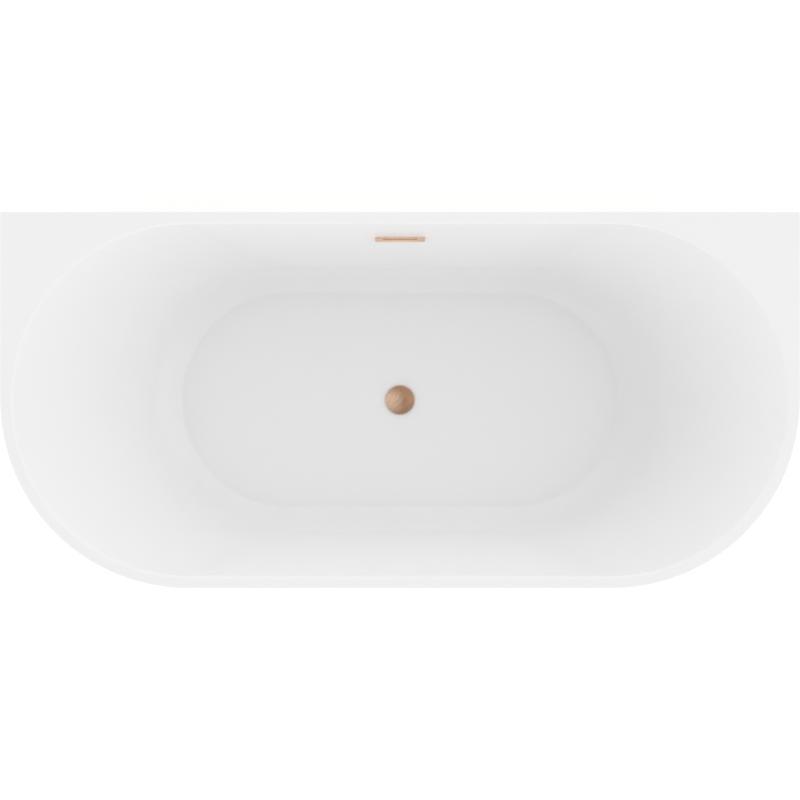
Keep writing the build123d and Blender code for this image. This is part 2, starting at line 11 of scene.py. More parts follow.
import bmesh
import bpy
import numpy as np
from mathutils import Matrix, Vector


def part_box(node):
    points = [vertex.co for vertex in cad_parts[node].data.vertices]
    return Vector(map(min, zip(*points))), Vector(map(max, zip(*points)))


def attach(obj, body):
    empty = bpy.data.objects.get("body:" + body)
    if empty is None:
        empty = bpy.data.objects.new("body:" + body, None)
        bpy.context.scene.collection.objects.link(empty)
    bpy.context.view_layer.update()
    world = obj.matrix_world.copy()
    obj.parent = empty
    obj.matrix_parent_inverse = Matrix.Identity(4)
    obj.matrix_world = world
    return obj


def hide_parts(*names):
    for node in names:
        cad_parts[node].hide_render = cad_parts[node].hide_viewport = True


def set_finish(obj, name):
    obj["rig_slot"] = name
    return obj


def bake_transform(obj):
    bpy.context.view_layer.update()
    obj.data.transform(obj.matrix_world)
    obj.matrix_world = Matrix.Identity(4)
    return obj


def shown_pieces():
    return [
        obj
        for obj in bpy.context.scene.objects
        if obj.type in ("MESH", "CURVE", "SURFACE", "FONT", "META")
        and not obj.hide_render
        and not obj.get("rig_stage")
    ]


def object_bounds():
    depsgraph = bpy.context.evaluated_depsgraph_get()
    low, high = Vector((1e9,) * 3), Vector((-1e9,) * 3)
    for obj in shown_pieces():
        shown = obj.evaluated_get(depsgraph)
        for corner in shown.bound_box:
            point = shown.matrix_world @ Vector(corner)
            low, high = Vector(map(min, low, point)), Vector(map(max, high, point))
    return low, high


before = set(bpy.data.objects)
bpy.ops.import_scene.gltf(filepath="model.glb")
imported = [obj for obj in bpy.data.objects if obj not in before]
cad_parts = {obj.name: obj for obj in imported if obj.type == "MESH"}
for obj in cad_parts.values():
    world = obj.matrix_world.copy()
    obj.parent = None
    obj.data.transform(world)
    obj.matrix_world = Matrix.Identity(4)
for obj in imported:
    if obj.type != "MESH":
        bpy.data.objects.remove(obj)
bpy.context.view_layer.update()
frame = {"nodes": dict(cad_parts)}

MM = 0.001
nodes = frame["nodes"]

# %% [markdown]
# ## Camera
#
# The bath is looked at from straight above, its back edge at the top of the picture. A camera with no turn at all
# looks down -Z with +Y up, so it only has to be lifted. The long lens, far from the rim, keeps the walls of the well
# from spreading: a wide lens close by would show far more of them.

# %% Camera
HALF_LENGTH, HALF_WIDTH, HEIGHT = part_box("basin")[1]
EYE_ABOVE_RIM = 4.5
VIEW_ACROSS = 0.9996 * 2 * HALF_LENGTH

lens = bpy.data.cameras.new("camera")
lens.sensor_width = 36
lens.lens = lens.sensor_width * EYE_ABOVE_RIM / VIEW_ACROSS
camera = bpy.data.objects.new("camera", lens)
camera.location = (0, 0, HEIGHT + EYE_ABOVE_RIM)
bpy.context.scene.collection.objects.link(camera)
bpy.context.scene.camera = camera
print("lens", round(lens.lens, 1), "mm")

# %% [markdown]
# ## Grids, shells and pieces
#
# A grid of points is the plainest way to hold a curved surface: row by row, with the columns running round until
# they meet. A shell is its points and blocks of faces. A piece is a shell made into a mesh: points that meet are
# welded, faces are turned outwards, and edges sharper than an angle keep their edge under smooth shading.

# %% Grids and shells
def quads(rows, columns, close_rows=False):
    """Number the corners of a grid's faces. A face joins (row, column) to the next column and the next row."""
    row = np.arange(rows if close_rows else rows - 1)[:, None]
    column = np.arange(columns)[None, :]
    row_on, column_on = (row + 1) % rows, (column + 1) % columns
    corners = [row * columns + column, row * columns + column_on]
    corners += [row_on * columns + column_on, row_on * columns + column]
    return np.stack(corners, axis=-1)


def gather(*shells):
    """Put several shells into one, counting each one's points on from the last."""
    starts = np.cumsum([0] + [len(points) for points, _ in shells])
    blocks = [block + start for start, (_, blocks) in zip(starts, shells) for block in blocks]
    return np.concatenate([points for points, _ in shells]), blocks


# %% Pieces
def build(name, shell, body, slot, replaces=(), crease=35, even=False):
    """Make a shell into a mesh object that rides on a body and takes the finish of a slot."""
    points, blocks = shell
    mesh = bpy.data.meshes.new(name)
    mesh.from_pydata(points.tolist(), [], [face for block in blocks for face in block.tolist()])
    work = bmesh.new()
    work.from_mesh(mesh)
    bmesh.ops.remove_doubles(work, verts=work.verts, dist=2e-6)
    bmesh.ops.recalc_face_normals(work, faces=work.faces)
    if work.calc_volume(signed=True) < 0:
        bmesh.ops.reverse_faces(work, faces=work.faces)
    work.to_mesh(mesh)
    work.free()
    mesh.shade_smooth()
    mesh.set_sharp_from_angle(angle=radians(crease))
    piece = bpy.data.objects.new(name, mesh)
    bpy.context.scene.collection.objects.link(piece)
    if even:
        piece.modifiers.new("flat faces stay flat", "WEIGHTED_NORMAL").keep_sharp = True
    if body:
        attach(piece, body)
    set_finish(piece, slot)
    if replaces:
        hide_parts(*replaces)
    print(name, len(mesh.polygons), "faces on", body)
    return piece


# %% [markdown]
# ## The overflow hose
#
# A ribbed hose takes spilled water from the overflow down to the waste body under the floor. It leaves the overflow
# straight down and comes level into the waste. A hose is a fixed length held at both ends, so its line is one smooth
# spline through the route's points, and the ribs are rings whose radius rises and falls with the distance along it.

# %% The hose's line
HOSE_ROUTE = np.array([(373, 451), (373, 355), (370.5, 243), (326.5, 161), (243, 112), (150, 104), (60, 104)]) * MM
HOSE_RADIUS = 15 * MM

curve = bpy.data.curves.new("hose_line", "CURVE")
curve.dimensions = "3D"
spline = curve.splines.new("NURBS")
spline.points.add(len(HOSE_ROUTE) - 1)
spline.points.foreach_set("co", np.insert(np.insert(HOSE_ROUTE, 0, 0, axis=1), 3, 1, axis=1).ravel())
spline.order_u = 3
spline.use_endpoint_u = True
spline.resolution_u = 32
hose_curve = bpy.data.objects.new("hose_line", curve)
bpy.context.scene.collection.objects.link(hose_curve)
line_mesh = bpy.data.meshes.new_from_object(hose_curve)
hose_line = np.zeros(len(line_mesh.vertices) * 3)
line_mesh.vertices.foreach_get("co", hose_line)
hose_line = hose_line.reshape(-1, 3)
bpy.data.objects.remove(hose_curve)


def distances(path):
    """How far along the path each of its points is."""
    return np.insert(np.cumsum(np.linalg.norm(np.diff(path, axis=0), axis=1)), 0, 0)


print("hose line", round(distances(hose_line)[-1], 4), "m")

# %% Carry a cross-section along a flat path
def carried(path, side, sections):
    """Rings of points carried along a path that lies in one plane.

    side is the unit vector square to that plane. A ring is the path's point + u * across + v * side, where across is
    square to both the path and side, and (u, v) is the cross-section there. Both ends are closed with a flat face.
    """
    tangent = np.gradient(path, axis=0)
    tangent /= np.linalg.norm(tangent, axis=1, keepdims=True)
    across = np.cross(side, tangent)
    rings = path[:, None] + sections[..., :1] * across[:, None] + sections[..., 1:] * np.array(side)
    rows, columns = rings.shape[:2]
    ends = np.arange(columns)[None, :]
    return rings.reshape(-1, 3), [quads(rows, columns).reshape(-1, 4), ends, ends + (rows - 1) * columns]


def circle(radii, columns):
    """Round cross-sections: u = r cos a, v = r sin a."""
    angle = np.linspace(0, 2 * pi, columns, endpoint=False)
    return np.asarray(radii)[:, None, None] * np.stack([np.cos(angle), np.sin(angle)], axis=-1)


# %% The hose
RIB_PITCH = 4.4 * MM
RIB_DEPTH = 1.9 * MM
CUFF = 19 * MM

along = np.arange(0, distances(hose_line)[-1], RIB_PITCH / 8)
hose_path = np.stack([np.interp(along, distances(hose_line), hose_line[:, axis]) for axis in range(3)], axis=1)
ribbed = np.clip(np.minimum(along - CUFF, along[-1] - along - CUFF) / (2 * MM), 0, 1)
groove = (0.5 - 0.5 * np.cos(2 * pi * along / RIB_PITCH)) ** 1.4
hose = build(
    "ribbed_overflow_hose",
    carried(hose_path, (1, 0, 0), circle(HOSE_RADIUS - RIB_DEPTH * ribbed * groove, 28)),
    "tub", "hose_plastic", ["overflow_hose"], crease=60,
)

# %% [markdown]
# ## Rounded corners and turned shapes
#
# Moulded and pressed parts have no sharp corners, and it is the round edges that catch the light. A rounded corner
# between two straight sides is an arc, and an arc is exactly a weighted quadratic curve: its middle weight is the
# cosine of half the turn. The same formula rounds a flat outline and the corner between two whole rings of points.

# %% Rounded corners
def corner(start, peak, end, steps=6):
    """Rows of points round a corner from start to end, for arrays of any shape.

    With s from 0 to 1 a row is ((1-s)^2 start + 2 s (1-s) w peak + s^2 end) / ((1-s)^2 + 2 s (1-s) w + s^2), and w is
    the cosine of half the angle that the line turns by at the peak.
    """
    way_in, way_out = peak - start, end - peak
    lengths = np.linalg.norm(way_in, axis=-1) * np.linalg.norm(way_out, axis=-1)
    cos_turn = np.sum(way_in * way_out, axis=-1) / np.maximum(lengths, 1e-12)
    weight = np.sqrt(np.clip((1 + cos_turn) / 2, 0.05, 1))[None, ..., None]
    s = np.linspace(0, 1, steps + 1).reshape((-1,) + (1,) * start.ndim)
    shares = (1 - s) ** 2, 2 * s * (1 - s) * weight, s**2
    return (shares[0] * start + shares[1] * peak + shares[2] * end) / (shares[0] + shares[1] + shares[2])


def rounded(corners, radii, steps=6):
    """A flat outline with its corners rounded: the arc leaves each side radius * tan(turn / 2) from the corner."""
    peak = np.asarray(corners, float)
    back, on = np.roll(peak, 1, axis=0) - peak, np.roll(peak, -1, axis=0) - peak
    back /= np.linalg.norm(back, axis=1, keepdims=True)
    on /= np.linalg.norm(on, axis=1, keepdims=True)
    half_turn = np.arccos(np.clip(-np.sum(back * on, axis=1), -1, 1)) / 2
    reach = (np.broadcast_to(radii, len(peak)) * np.tan(half_turn))[:, None]
    line = np.swapaxes(corner(peak + back * reach, peak, peak + on * reach, steps), 0, 1).reshape(-1, 2)
    return line[np.insert(np.linalg.norm(np.diff(line, axis=0), axis=1) > 1e-6, 0, True)]


# %% Turned shapes
def turned(profile, about=(0, 0, 0), columns=64, along="z", ring=False, outline=None):
    """Spin a profile of (radius, height) points about a line: x = r cos a, y = r sin a, z = height.

    A solid's profile starts and ends on the line, and a ring's closes on itself. outline(radius, height, angle) may
    change the radius as the profile goes round, for flats, flutes and threads.
    """
    radius, height = profile[:, :1], profile[:, 1:]
    angle = np.linspace(0, 2 * pi, columns, endpoint=False)[None, :]
    if outline:
        radius = outline(radius, height, angle)
    spun = [radius * np.cos(angle), radius * np.sin(angle), height + 0 * angle]
    if along == "y":
        spun = [spun[0], spun[2], spun[1]]
    points = np.stack(np.broadcast_arrays(*spun), axis=-1) + about
    return points.reshape(-1, 3), [quads(len(profile), columns, ring).reshape(-1, 4)]


# %% [markdown]
# ## The bath shell
#
# The rim, its turned-down lip and the bathing well are one sheet of acrylic, vacuum formed over a mould. Every level
# section of the well is a stadium: two half circles joined by straight sides. The rim's outline is a D with square
# corners at the wall. Both are described by the same columns, so ring after ring of points joins up from the lip,
# over the rim, down the wall, across the floor and back underneath to the lip, as one closed skin.

# %% The well's walls
FLOOR_Z = HEIGHT - 415 * MM
DRAIN_Z = FLOOR_Z - 7 * MM


def wall_profile(top, floor, radius, crease_degrees):
    """The half size of the well at any height, for a surface lying an offset outside the wall.

    Down from the rim it is a leaning straight line; below that an arc, touching the line, runs in to the floor and
    meets it at the crease angle.
    """
    crease = radians(crease_degrees)
    centre = floor - radius * sin(crease)
    centre_z = FLOOR_Z + radius * cos(crease)
    run, rise = top - centre, HEIGHT - centre_z
    lean = acos(radius / hypot(run, rise)) - atan2(rise, run)

    def half_size(z, offset=0.0):
        r = radius + offset
        line = centre + (r + sin(lean) * (z - centre_z)) / cos(lean)
        arc = centre + np.sqrt(np.maximum(r**2 - (z - centre_z) ** 2, 0))
        return np.where(z >= centre_z - r * sin(lean), line, arc)

    return half_size, lean


side_at, SIDE_LEAN = wall_profile(HALF_WIDTH - 25 * MM, 248 * MM, 100 * MM, 25)
end_at, END_LEAN = wall_profile(HALF_LENGTH - 25 * MM, 505 * MM, 160 * MM, 18)
print("walls lean", round(SIDE_LEAN * 180 / pi, 1), "and", round(END_LEAN * 180 / pi, 1), "degrees")

# %% Columns round the right-hand end
QUARTER = np.linspace(-90, 0, 37)                 # degrees, front quarter circle
SIDE_SHARE = np.linspace(0, 1, 17)[1:]            # along the straight side towards the back corner
CORNER_TURN = np.linspace(0, 90, 6)[1:]           # degrees, round the small back corner
EDGE_SHARE = np.linspace(0, 1, 4)[1:]             # along the back to the edge of the skirt's opening
BACK_SHARE = np.linspace(0, 1, 14)[1:]            # and on to where the well's half circle ends
BACK_BEND = np.linspace(46, 90, len(EDGE_SHARE) + len(BACK_SHARE) + 1)[1:]
WELL_ANGLE = np.radians(np.concatenate([QUARTER, 44 * SIDE_SHARE, 44 + CORNER_TURN / 45, BACK_BEND]))
END_COLUMNS = len(WELL_ANGLE)

OVERFLOW_Z = HEIGHT - 113 * MM
HOLE_HALF_LENGTH = 35 * MM
HOLE_HALF_HEIGHT = 8 * MM
straight = float(end_at(OVERFLOW_Z) - side_at(OVERFLOW_Z))
hole_share = (1 - HOLE_HALF_LENGTH / straight) / 2
towards_hole = np.linspace(0, hole_share, 9)[1:]
BACK_RUN = np.concatenate([towards_hole, np.linspace(hole_share, 1 - hole_share, 6)[1:-1], 1 - towards_hole[::-1]])
FRONT_RUN = np.linspace(0, 1, 21)[1:-1]
COLUMNS = 2 * END_COLUMNS + len(BACK_RUN) + len(FRONT_RUN)
print(COLUMNS, "columns round the bath")

# %% Rings
def closed_ring(right, z):
    """Mirror the right-hand end for the left one and join them with straight runs; z may differ by column."""
    left = right[::-1] * (-1, 1)
    back = right[-1] + (left[0] - right[-1]) * BACK_RUN[:, None]
    front = left[-1] + (right[0] - left[-1]) * FRONT_RUN[:, None]
    ring = np.concatenate([right, back, left, front])
    return np.column_stack([ring, np.broadcast_to(z, COLUMNS)])


def d_ring(half_length, front, back, radius, small, z, edge=0.8):
    """A D: quarter circles at the front, straight sides, small rounded corners at the back.

    edge is the column's x at the side of the skirt's opening, so that the opening can have a clean edge.
    """
    x_mid, y_mid = half_length - radius, front + radius
    turn, small_turn = np.radians(QUARTER), np.radians(CORNER_TURN)
    quarter = np.column_stack([x_mid + radius * np.cos(turn), y_mid + radius * np.sin(turn)])
    side = np.column_stack([half_length + 0 * SIDE_SHARE, y_mid + (back - small - y_mid) * SIDE_SHARE])
    bend = np.column_stack([np.cos(small_turn), np.sin(small_turn)]) * small + (half_length - small, back - small)
    to_edge = (half_length - small) + (edge - half_length + small) * EDGE_SHARE
    x = np.concatenate([to_edge, edge + (x_mid - edge) * BACK_SHARE])
    return closed_ring(np.concatenate([quarter, side, bend, np.column_stack([x, back + 0 * x])]), z)


def rim_ring(inset, z):
    """The rim's outline moved inwards."""
    radius = 400 * MM - inset
    small = max(3 * MM - inset, 0.3 * MM)
    return d_ring(HALF_LENGTH - inset, inset - HALF_WIDTH, HALF_WIDTH - inset, radius, small, z)


END_SHARE = np.cos(WELL_ANGLE) ** 2


def well_ring(z, offset=0.0):
    """A stadium: x = straight half length + width cos a, y = width sin a. z may be given for each end column."""
    z = np.broadcast_to(z, END_COLUMNS)
    width = side_at(z, offset)
    right = np.column_stack([end_at(z, offset) - width + width * np.cos(WELL_ANGLE), width * np.sin(WELL_ANGLE)])
    run_z = [np.full(len(BACK_RUN), z[-1]), np.full(len(FRONT_RUN), z[0])]
    return closed_ring(right, np.concatenate([z, run_z[0], z[::-1], run_z[1]]))


def drain_ring(radius, z, like):
    """A circle round the drain, each point on the same bearing as a ring outside it."""
    bearing = np.arctan2(like[:, 1], like[:, 0])
    return np.column_stack([radius * np.cos(bearing), radius * np.sin(bearing), np.full(len(like), z)])


# %% The rim's rows
LIP_Z = HEIGHT - 28 * MM
SOFT = 1.5 * MM
EDGE = 2 * MM
ACRYLIC = 5 * MM

lip_in = corner(rim_ring(ACRYLIC, LIP_Z + SOFT), rim_ring(ACRYLIC, LIP_Z), rim_ring(ACRYLIC - SOFT, LIP_Z), 3)
lip_out = corner(rim_ring(SOFT, LIP_Z), rim_ring(0, LIP_Z), rim_ring(0, LIP_Z + SOFT), 4)
rim_edge = corner(rim_ring(0, HEIGHT - EDGE), rim_ring(0, HEIGHT), rim_ring(EDGE, HEIGHT), 8)
outside = [lip_in, lip_out, rim_ring(0, LIP_Z + 2.5 * MM)[None], rim_ring(0, HEIGHT - EDGE - MM)[None]]
outside += [rim_edge, rim_ring(EDGE + MM, HEIGHT)[None]]

# %% The well's rows
WELL_EDGE = 8 * MM
BEND_Z = 0.262
ROWS_ABOVE_HOLE = 3
HOLE_ROWS = 4
HOLE_STEPS = np.array([1, 0.5, 0, -0.5, -1])


def blend_ends(side_value, end_value):
    """A value for each end column that goes from the side's to the end's with the square of the cosine."""
    return side_value + (end_value - side_value) * END_SHARE


reach_side, reach_end = (WELL_EDGE * np.tan((pi / 2 - lean) / 2) for lean in (SIDE_LEAN, END_LEAN))
edge_low = HEIGHT - blend_ends(reach_side * cos(SIDE_LEAN), reach_end * cos(END_LEAN))


def rim_inner(extra):
    """The stadium on the rim's flat top, outside the well's rounded edge by extra."""
    width = side_at(HEIGHT) + blend_ends(reach_side, reach_end) + extra
    x = end_at(HEIGHT) - side_at(HEIGHT) + width * np.cos(WELL_ANGLE)
    return closed_ring(np.column_stack([x, width * np.sin(WELL_ANGLE)]), HEIGHT)


well_edge = corner(rim_inner(0), well_ring(HEIGHT), well_ring(edge_low), 10)
hole_rise = HOLE_HALF_HEIGHT * cos(SIDE_LEAN)
upper = [edge_low - MM, HEIGHT - 20 * MM, HEIGHT - 50 * MM]
upper += list(OVERFLOW_Z + hole_rise * HOLE_STEPS)
upper += list(np.linspace(OVERFLOW_Z - hole_rise, BEND_Z, 12)[1:])
bend_share = np.sin(np.linspace(0, pi / 2, 26))[1:]
lower = list(BEND_Z + (FLOOR_Z + 1.1 * MM - BEND_Z) * bend_share)
wall_rows = np.stack([well_ring(z) for z in upper + lower])

crease_ring = well_ring(FLOOR_Z)
drain_edge = drain_ring(45 * MM, DRAIN_Z, crease_ring)
floor_reach = 3 * MM / np.linalg.norm(drain_edge - crease_ring, axis=1)[:, None]
crease_rows = corner(wall_rows[-1], crease_ring, crease_ring + (drain_edge - crease_ring) * floor_reach, 8)
floor_shares = np.linspace(0, 1, 14)[1:, None, None]
floor_rows = crease_rows[-1] + (drain_edge - crease_rows[-1]) * floor_shares
recess = rounded([(40, 178), (32, 178), (32, 176), (25, 176), (25, 173)], [0, 0.6, 0.3, 0.8, 0], 3) * MM
recess_rows = np.stack([drain_ring(radius, z, crease_ring) for radius, z in recess])

# %% The shell's rows underneath, and its hole
below_hole = np.concatenate([[FLOOR_Z - ACRYLIC], np.linspace(0.183, BEND_Z, 12), np.linspace(0.3, 0.48, 4)])
under_hole = OVERFLOW_Z - ACRYLIC * sin(SIDE_LEAN) - hole_rise * HOLE_STEPS
under_z = np.concatenate([below_hole, under_hole, [0.55, HEIGHT - ACRYLIC]])
under_rows = np.stack([well_ring(z, ACRYLIC) for z in under_z])
under_floor = drain_ring(45 * MM, DRAIN_Z - ACRYLIC, crease_ring)[None]
plate = rim_ring(ACRYLIC, HEIGHT - ACRYLIC)[None]


def with_hole(rows, hole_top, hole_low, hole_left, hole_right, under_low, under_top):
    """Close a stack of rings on itself, leave out the faces of a hole in it, and face the hole's sides.

    The hole goes through two layers of rows, so the points round it on one layer are joined to those on the other.
    """
    count, columns = rows.shape[:2]
    faces = quads(count, columns, close_rows=True)
    kept = np.ones(faces.shape[:2], bool)
    kept[hole_top:hole_low, hole_left:hole_right] = False
    kept[under_low:under_top, hole_left:hole_right] = False

    def round_hole(top, low, step):
        down = np.arange(top, low, step)
        across = np.arange(hole_left, hole_right)
        loop = [down * columns + hole_left, low * columns + across]
        loop += [down[::-1] * columns + step * columns + hole_right, top * columns + across[::-1] + 1]
        return np.concatenate(loop)

    outer, inner = round_hole(hole_top, hole_low, 1), round_hole(under_top, under_low, -1)
    sides = np.stack([outer, np.roll(outer, -1), np.roll(inner, -1), inner], axis=1)
    return rows.reshape(-1, 3), [faces[kept], sides]


# %% The shell
before_wall = np.concatenate(outside + [rim_inner(MM)[None], well_edge])
top_skin = np.concatenate([before_wall, wall_rows, crease_rows[1:], floor_rows, recess_rows])
shell_rows = np.concatenate([top_skin, under_floor, under_rows, plate])
hole_top = len(before_wall) + ROWS_ABOVE_HOLE
under_low = len(top_skin) + len(under_floor) + len(below_hole)
hole_left = END_COLUMNS + len(towards_hole) - 1
hole_right = hole_left + 5
bath_shell = build(
    "bath_shell",
    with_hole(shell_rows, hole_top, hole_top + HOLE_ROWS, hole_left, hole_right, under_low, under_low + HOLE_ROWS),
    "tub", "acrylic", ["basin"], crease=50,
)

# %% [markdown]
# ## Glass fibre under the well
#
# Acrylic alone is too limp to carry water and a bather, so chopped glass fibre and resin are sprayed on its underside
# and rolled down by hand. The layer follows the well, but its outer face is lumpy and its top edge is cut unevenly.
# A sum of slow waves, each running its own way, is an easy and repeatable unevenness.

# %% Unevenness
def lumps(points, size, seed, waves=24):
    """An unevenness from -1 to 1: a sum of sine waves about size long, in directions drawn from a seed."""
    draw = np.random.default_rng(seed)
    directions = draw.normal(size=(3, waves))
    directions *= 2 * pi / size * draw.uniform(0.6, 1.6, waves) / np.linalg.norm(directions, axis=0)
    return np.clip(np.sin(points @ directions + draw.uniform(0, 2 * pi, waves)).sum(axis=-1) / waves**0.5, -1, 1)


def outwards(rows):
    """The direction square to a stack of rings at each of its points."""
    along_column = np.gradient(rows, axis=0)
    along_row = np.roll(rows, -1, axis=1) - np.roll(rows, 1, axis=1)
    square = np.cross(along_column, along_row)
    return square / np.maximum(np.linalg.norm(square, axis=-1, keepdims=True), 1e-12)


# %% The laminate
BOND = 0.2 * MM
LAYER = 3 * MM
TRIM_Z = HEIGHT - 12 * MM


def layer_rows(offset, hole_shift):
    """The well's surface lying an offset outside it, from the trimmed edge down to the hole for the waste."""
    levels = [TRIM_Z, 0.57, 0.54]
    levels += list(OVERFLOW_Z - hole_shift * sin(SIDE_LEAN) + hole_rise * HOLE_STEPS)
    levels += list(np.linspace(0.48, 0.27, 12)) + list(BEND_Z + (0.186 - BEND_Z) * bend_share)
    wall = np.stack([well_ring(z, offset) for z in levels + [FLOOR_Z - offset]])
    around_drain = drain_ring(45 * MM, DRAIN_Z - offset, crease_ring)
    floor = wall[-1] + (around_drain - wall[-1]) * np.linspace(0, 1, 20)[1:, None, None]
    return np.concatenate([wall, floor, drain_ring(27 * MM, DRAIN_Z - offset, crease_ring)[None]])


inner_layer = layer_rows(ACRYLIC + BOND, ACRYLIC + BOND)
outer_layer = layer_rows(ACRYLIC + BOND + LAYER, ACRYLIC + BOND + LAYER)
trim = lumps(inner_layer[0], 0.12, 3)[:, None] * (0, 0, 3 * MM)
inner_layer[0] += trim
outer_layer[0] += trim
free = np.ones(outer_layer.shape[:2])
free[[0, -1]] = 0
free[ROWS_ABOVE_HOLE:ROWS_ABOVE_HOLE + HOLE_ROWS + 1, hole_left:hole_right + 1] = 0
bulge = 0.55 * lumps(outer_layer, 0.07, 5) + 0.45 * lumps(outer_layer, 0.022, 6)
outer_layer += outwards(outer_layer) * (0.7 * MM * bulge * free)[..., None]
layer = np.concatenate([inner_layer, outer_layer[::-1]])
hole_low = ROWS_ABOVE_HOLE + HOLE_ROWS
last = len(layer) - 1
laminate = build(
    "glass_fibre_under_well",
    with_hole(layer, ROWS_ABOVE_HOLE, hole_low, hole_left, hole_right, last - hole_low, last - ROWS_ABOVE_HOLE),
    "tub", "laminate", ["basin_laminate"], crease=60,
)

# %% [markdown]
# ## The skirt
#
# The apron that hides the frame is a second acrylic sheet. It tapers in towards the floor, slowly at first, and turns
# in at the bottom as a flange. Its back is open, so that a fitter can reach the pipework. One sheet of rings is
# enough: the opening is faces left out, and a Solidify modifier gives the sheet its wall.

# %% The skirt's rings
SKIRT_TOP = HEIGHT - 28.5 * MM
SKIRT_BOTTOM = 12 * MM
SKIRT_WALL = 4.5 * MM
OPENING_TOP = 0.5
SMALL_BEND = 6 * MM


def skirt_ring(inset, z, margin=0.0):
    """The skirt's level section. The taper grows with the drop from the top to the power of one and a half."""
    drop = ((SKIRT_TOP - z) / (SKIRT_TOP - SKIRT_BOTTOM)) ** 1.5
    setback = 1.5 * MM + inset
    half_length = HALF_LENGTH - setback - 63 * MM * drop
    front = setback + 58 * MM * drop - HALF_WIDTH
    radius = 400 * MM - setback - 48 * MM * drop
    edge = 0.74 + 0.06 * min(z / OPENING_TOP, 1) + margin
    return d_ring(half_length, front, HALF_WIDTH - inset, radius, max(SMALL_BEND - inset, 0.5 * MM), z, edge)


opening_right = END_COLUMNS - len(BACK_SHARE) - 1
opening_left = END_COLUMNS + len(BACK_RUN) + len(BACK_SHARE)


def open_back(rows, first_row):
    """A stack of rings as an open sheet, without the faces of the opening from first_row down."""
    faces = quads(*rows.shape[:2])
    kept = np.ones(faces.shape[:2], bool)
    kept[first_row:, opening_right:opening_left] = False
    return rows.reshape(-1, 3), [faces[kept]]


def thicken(piece, wall, bevel=0.0):
    """Give a sheet its wall on the inner side, and soften the edges where it was cut."""
    solid = piece.modifiers.new("wall", "SOLIDIFY")
    solid.thickness = wall
    solid.offset = -1
    solid.use_even_offset = True
    if bevel:
        soft = piece.modifiers.new("soft edges", "BEVEL")
        soft.width = bevel
        soft.segments = 3
        soft.angle_limit = radians(50)
        soft.harden_normals = True


# %% The skirt panel
panel_z = np.concatenate([np.linspace(SKIRT_TOP, OPENING_TOP, 4), np.linspace(OPENING_TOP, 0.016, 26)[1:]])
panel = [np.stack([skirt_ring(0, z) for z in panel_z])]
panel.append(corner(skirt_ring(0, 0.016), skirt_ring(0, SKIRT_BOTTOM), skirt_ring(4 * MM, SKIRT_BOTTOM), 5)[1:])
panel.append(np.stack([skirt_ring(inset, SKIRT_BOTTOM) for inset in (5 * MM, 14 * MM, 24.5 * MM)]))
skirt = build("skirt_panel", open_back(np.concatenate(panel), 3), "tub", "acrylic", ["skirt"], crease=60)
thicken(skirt, SKIRT_WALL, 0.8 * MM)

# %% Its glass-fibre backing
backing_z = np.concatenate([np.linspace(0.538, OPENING_TOP + 0.012, 4), np.linspace(OPENING_TOP, 0.022, 40)])
backing = np.stack([skirt_ring(SKIRT_WALL + BOND, z, 0.012) for z in backing_z])
backing -= outwards(backing) * (0.35 * MM * (1 + lumps(backing, 0.06, 9)))[..., None] * np.sign(
    np.sum(outwards(backing) * backing * (1, 1, 0), axis=-1, keepdims=True)
)
skirt_fibre = build(
    "glass_fibre_in_skirt", open_back(backing, 3), "tub", "laminate", ["skirt_laminate"], crease=60
)
thicken(skirt_fibre, 2.3 * MM)

# %% [markdown]
# ## The frame
#
# Two rails and four cross tubes of rectangular steel carry the bath. Rolled tube has rounded corners, twice as round
# outside as inside. A tube is four outlines joined in a loop: outer at one end, outer at the other, then the inner
# ones back. The straps that hold the skirt are flat strip, bent round a former.

# %% Tubes
TUBE_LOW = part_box("frame_rail_front")[0].z
TUBE_WALL = 2 * MM


def rectangle(half_wide, half_high, radius, steps=4):
    """A rectangle with rounded corners, round the origin."""
    corners = [(-half_wide, -half_high), (half_wide, -half_high), (half_wide, half_high), (-half_wide, half_high)]
    return rounded(corners, radius, steps)


def hollow_bar(node):
    """A rectangular tube that fills a CAD node's box, open at both ends."""
    low, high = (np.array(corner_point) for corner_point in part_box(node))
    middle, half = (low + high) / 2, (high - low) / 2
    long = int(half[1] > half[0])
    outer = rectangle(half[1 - long], half[2], 3.5 * MM)
    inner = rectangle(half[1 - long] - TUBE_WALL, half[2] - TUBE_WALL, 1.5 * MM)
    loops = []
    for outline, end in ((outer, -1), (outer, 1), (inner, 1), (inner, -1)):
        loop = np.zeros((len(outline), 3))
        loop[:, long] = end * half[long]
        loop[:, 1 - long], loop[:, 2] = outline.T
        loops.append(loop + middle)
    return np.concatenate(loops), [quads(4, len(outer), close_rows=True).reshape(-1, 4)]


for node in sorted(nodes):
    if node.startswith(("frame_rail", "frame_cross")):
        build(node.replace("frame", "steel"), hollow_bar(node), "tub", "frame_steel", [node], even=True)

# %% Straps between the frame and the skirt
STRIP = 3 * MM
STRAP_FOOT_Z = 18.1 * MM
strip_section = rectangle(STRIP / 2, 15 * MM, 0.7 * MM)[None]


def strap(reach, place):
    """A bent strip: level under the tube, straight down, and level out over the flange.

    place puts its (out, z) points in 3-D.
    """
    bends = np.array([(-36 * MM, TUBE_LOW - STRIP / 2), (reach - STRIP / 2, TUBE_LOW - STRIP / 2)])
    bends = np.concatenate([bends, [(reach - STRIP / 2, STRAP_FOOT_Z), (reach + 18 * MM, STRAP_FOOT_Z)]])
    path = rounded(bends, [0, 4.5 * MM, 4.5 * MM, 0])
    return place(path)


def to_front(x):
    """Places a strap that reaches forwards from the front rail."""
    return lambda path: carried(
        np.column_stack([x + 0 * path[:, 0], -0.19 - path[:, 0], path[:, 1]]), (1, 0, 0), strip_section
    )


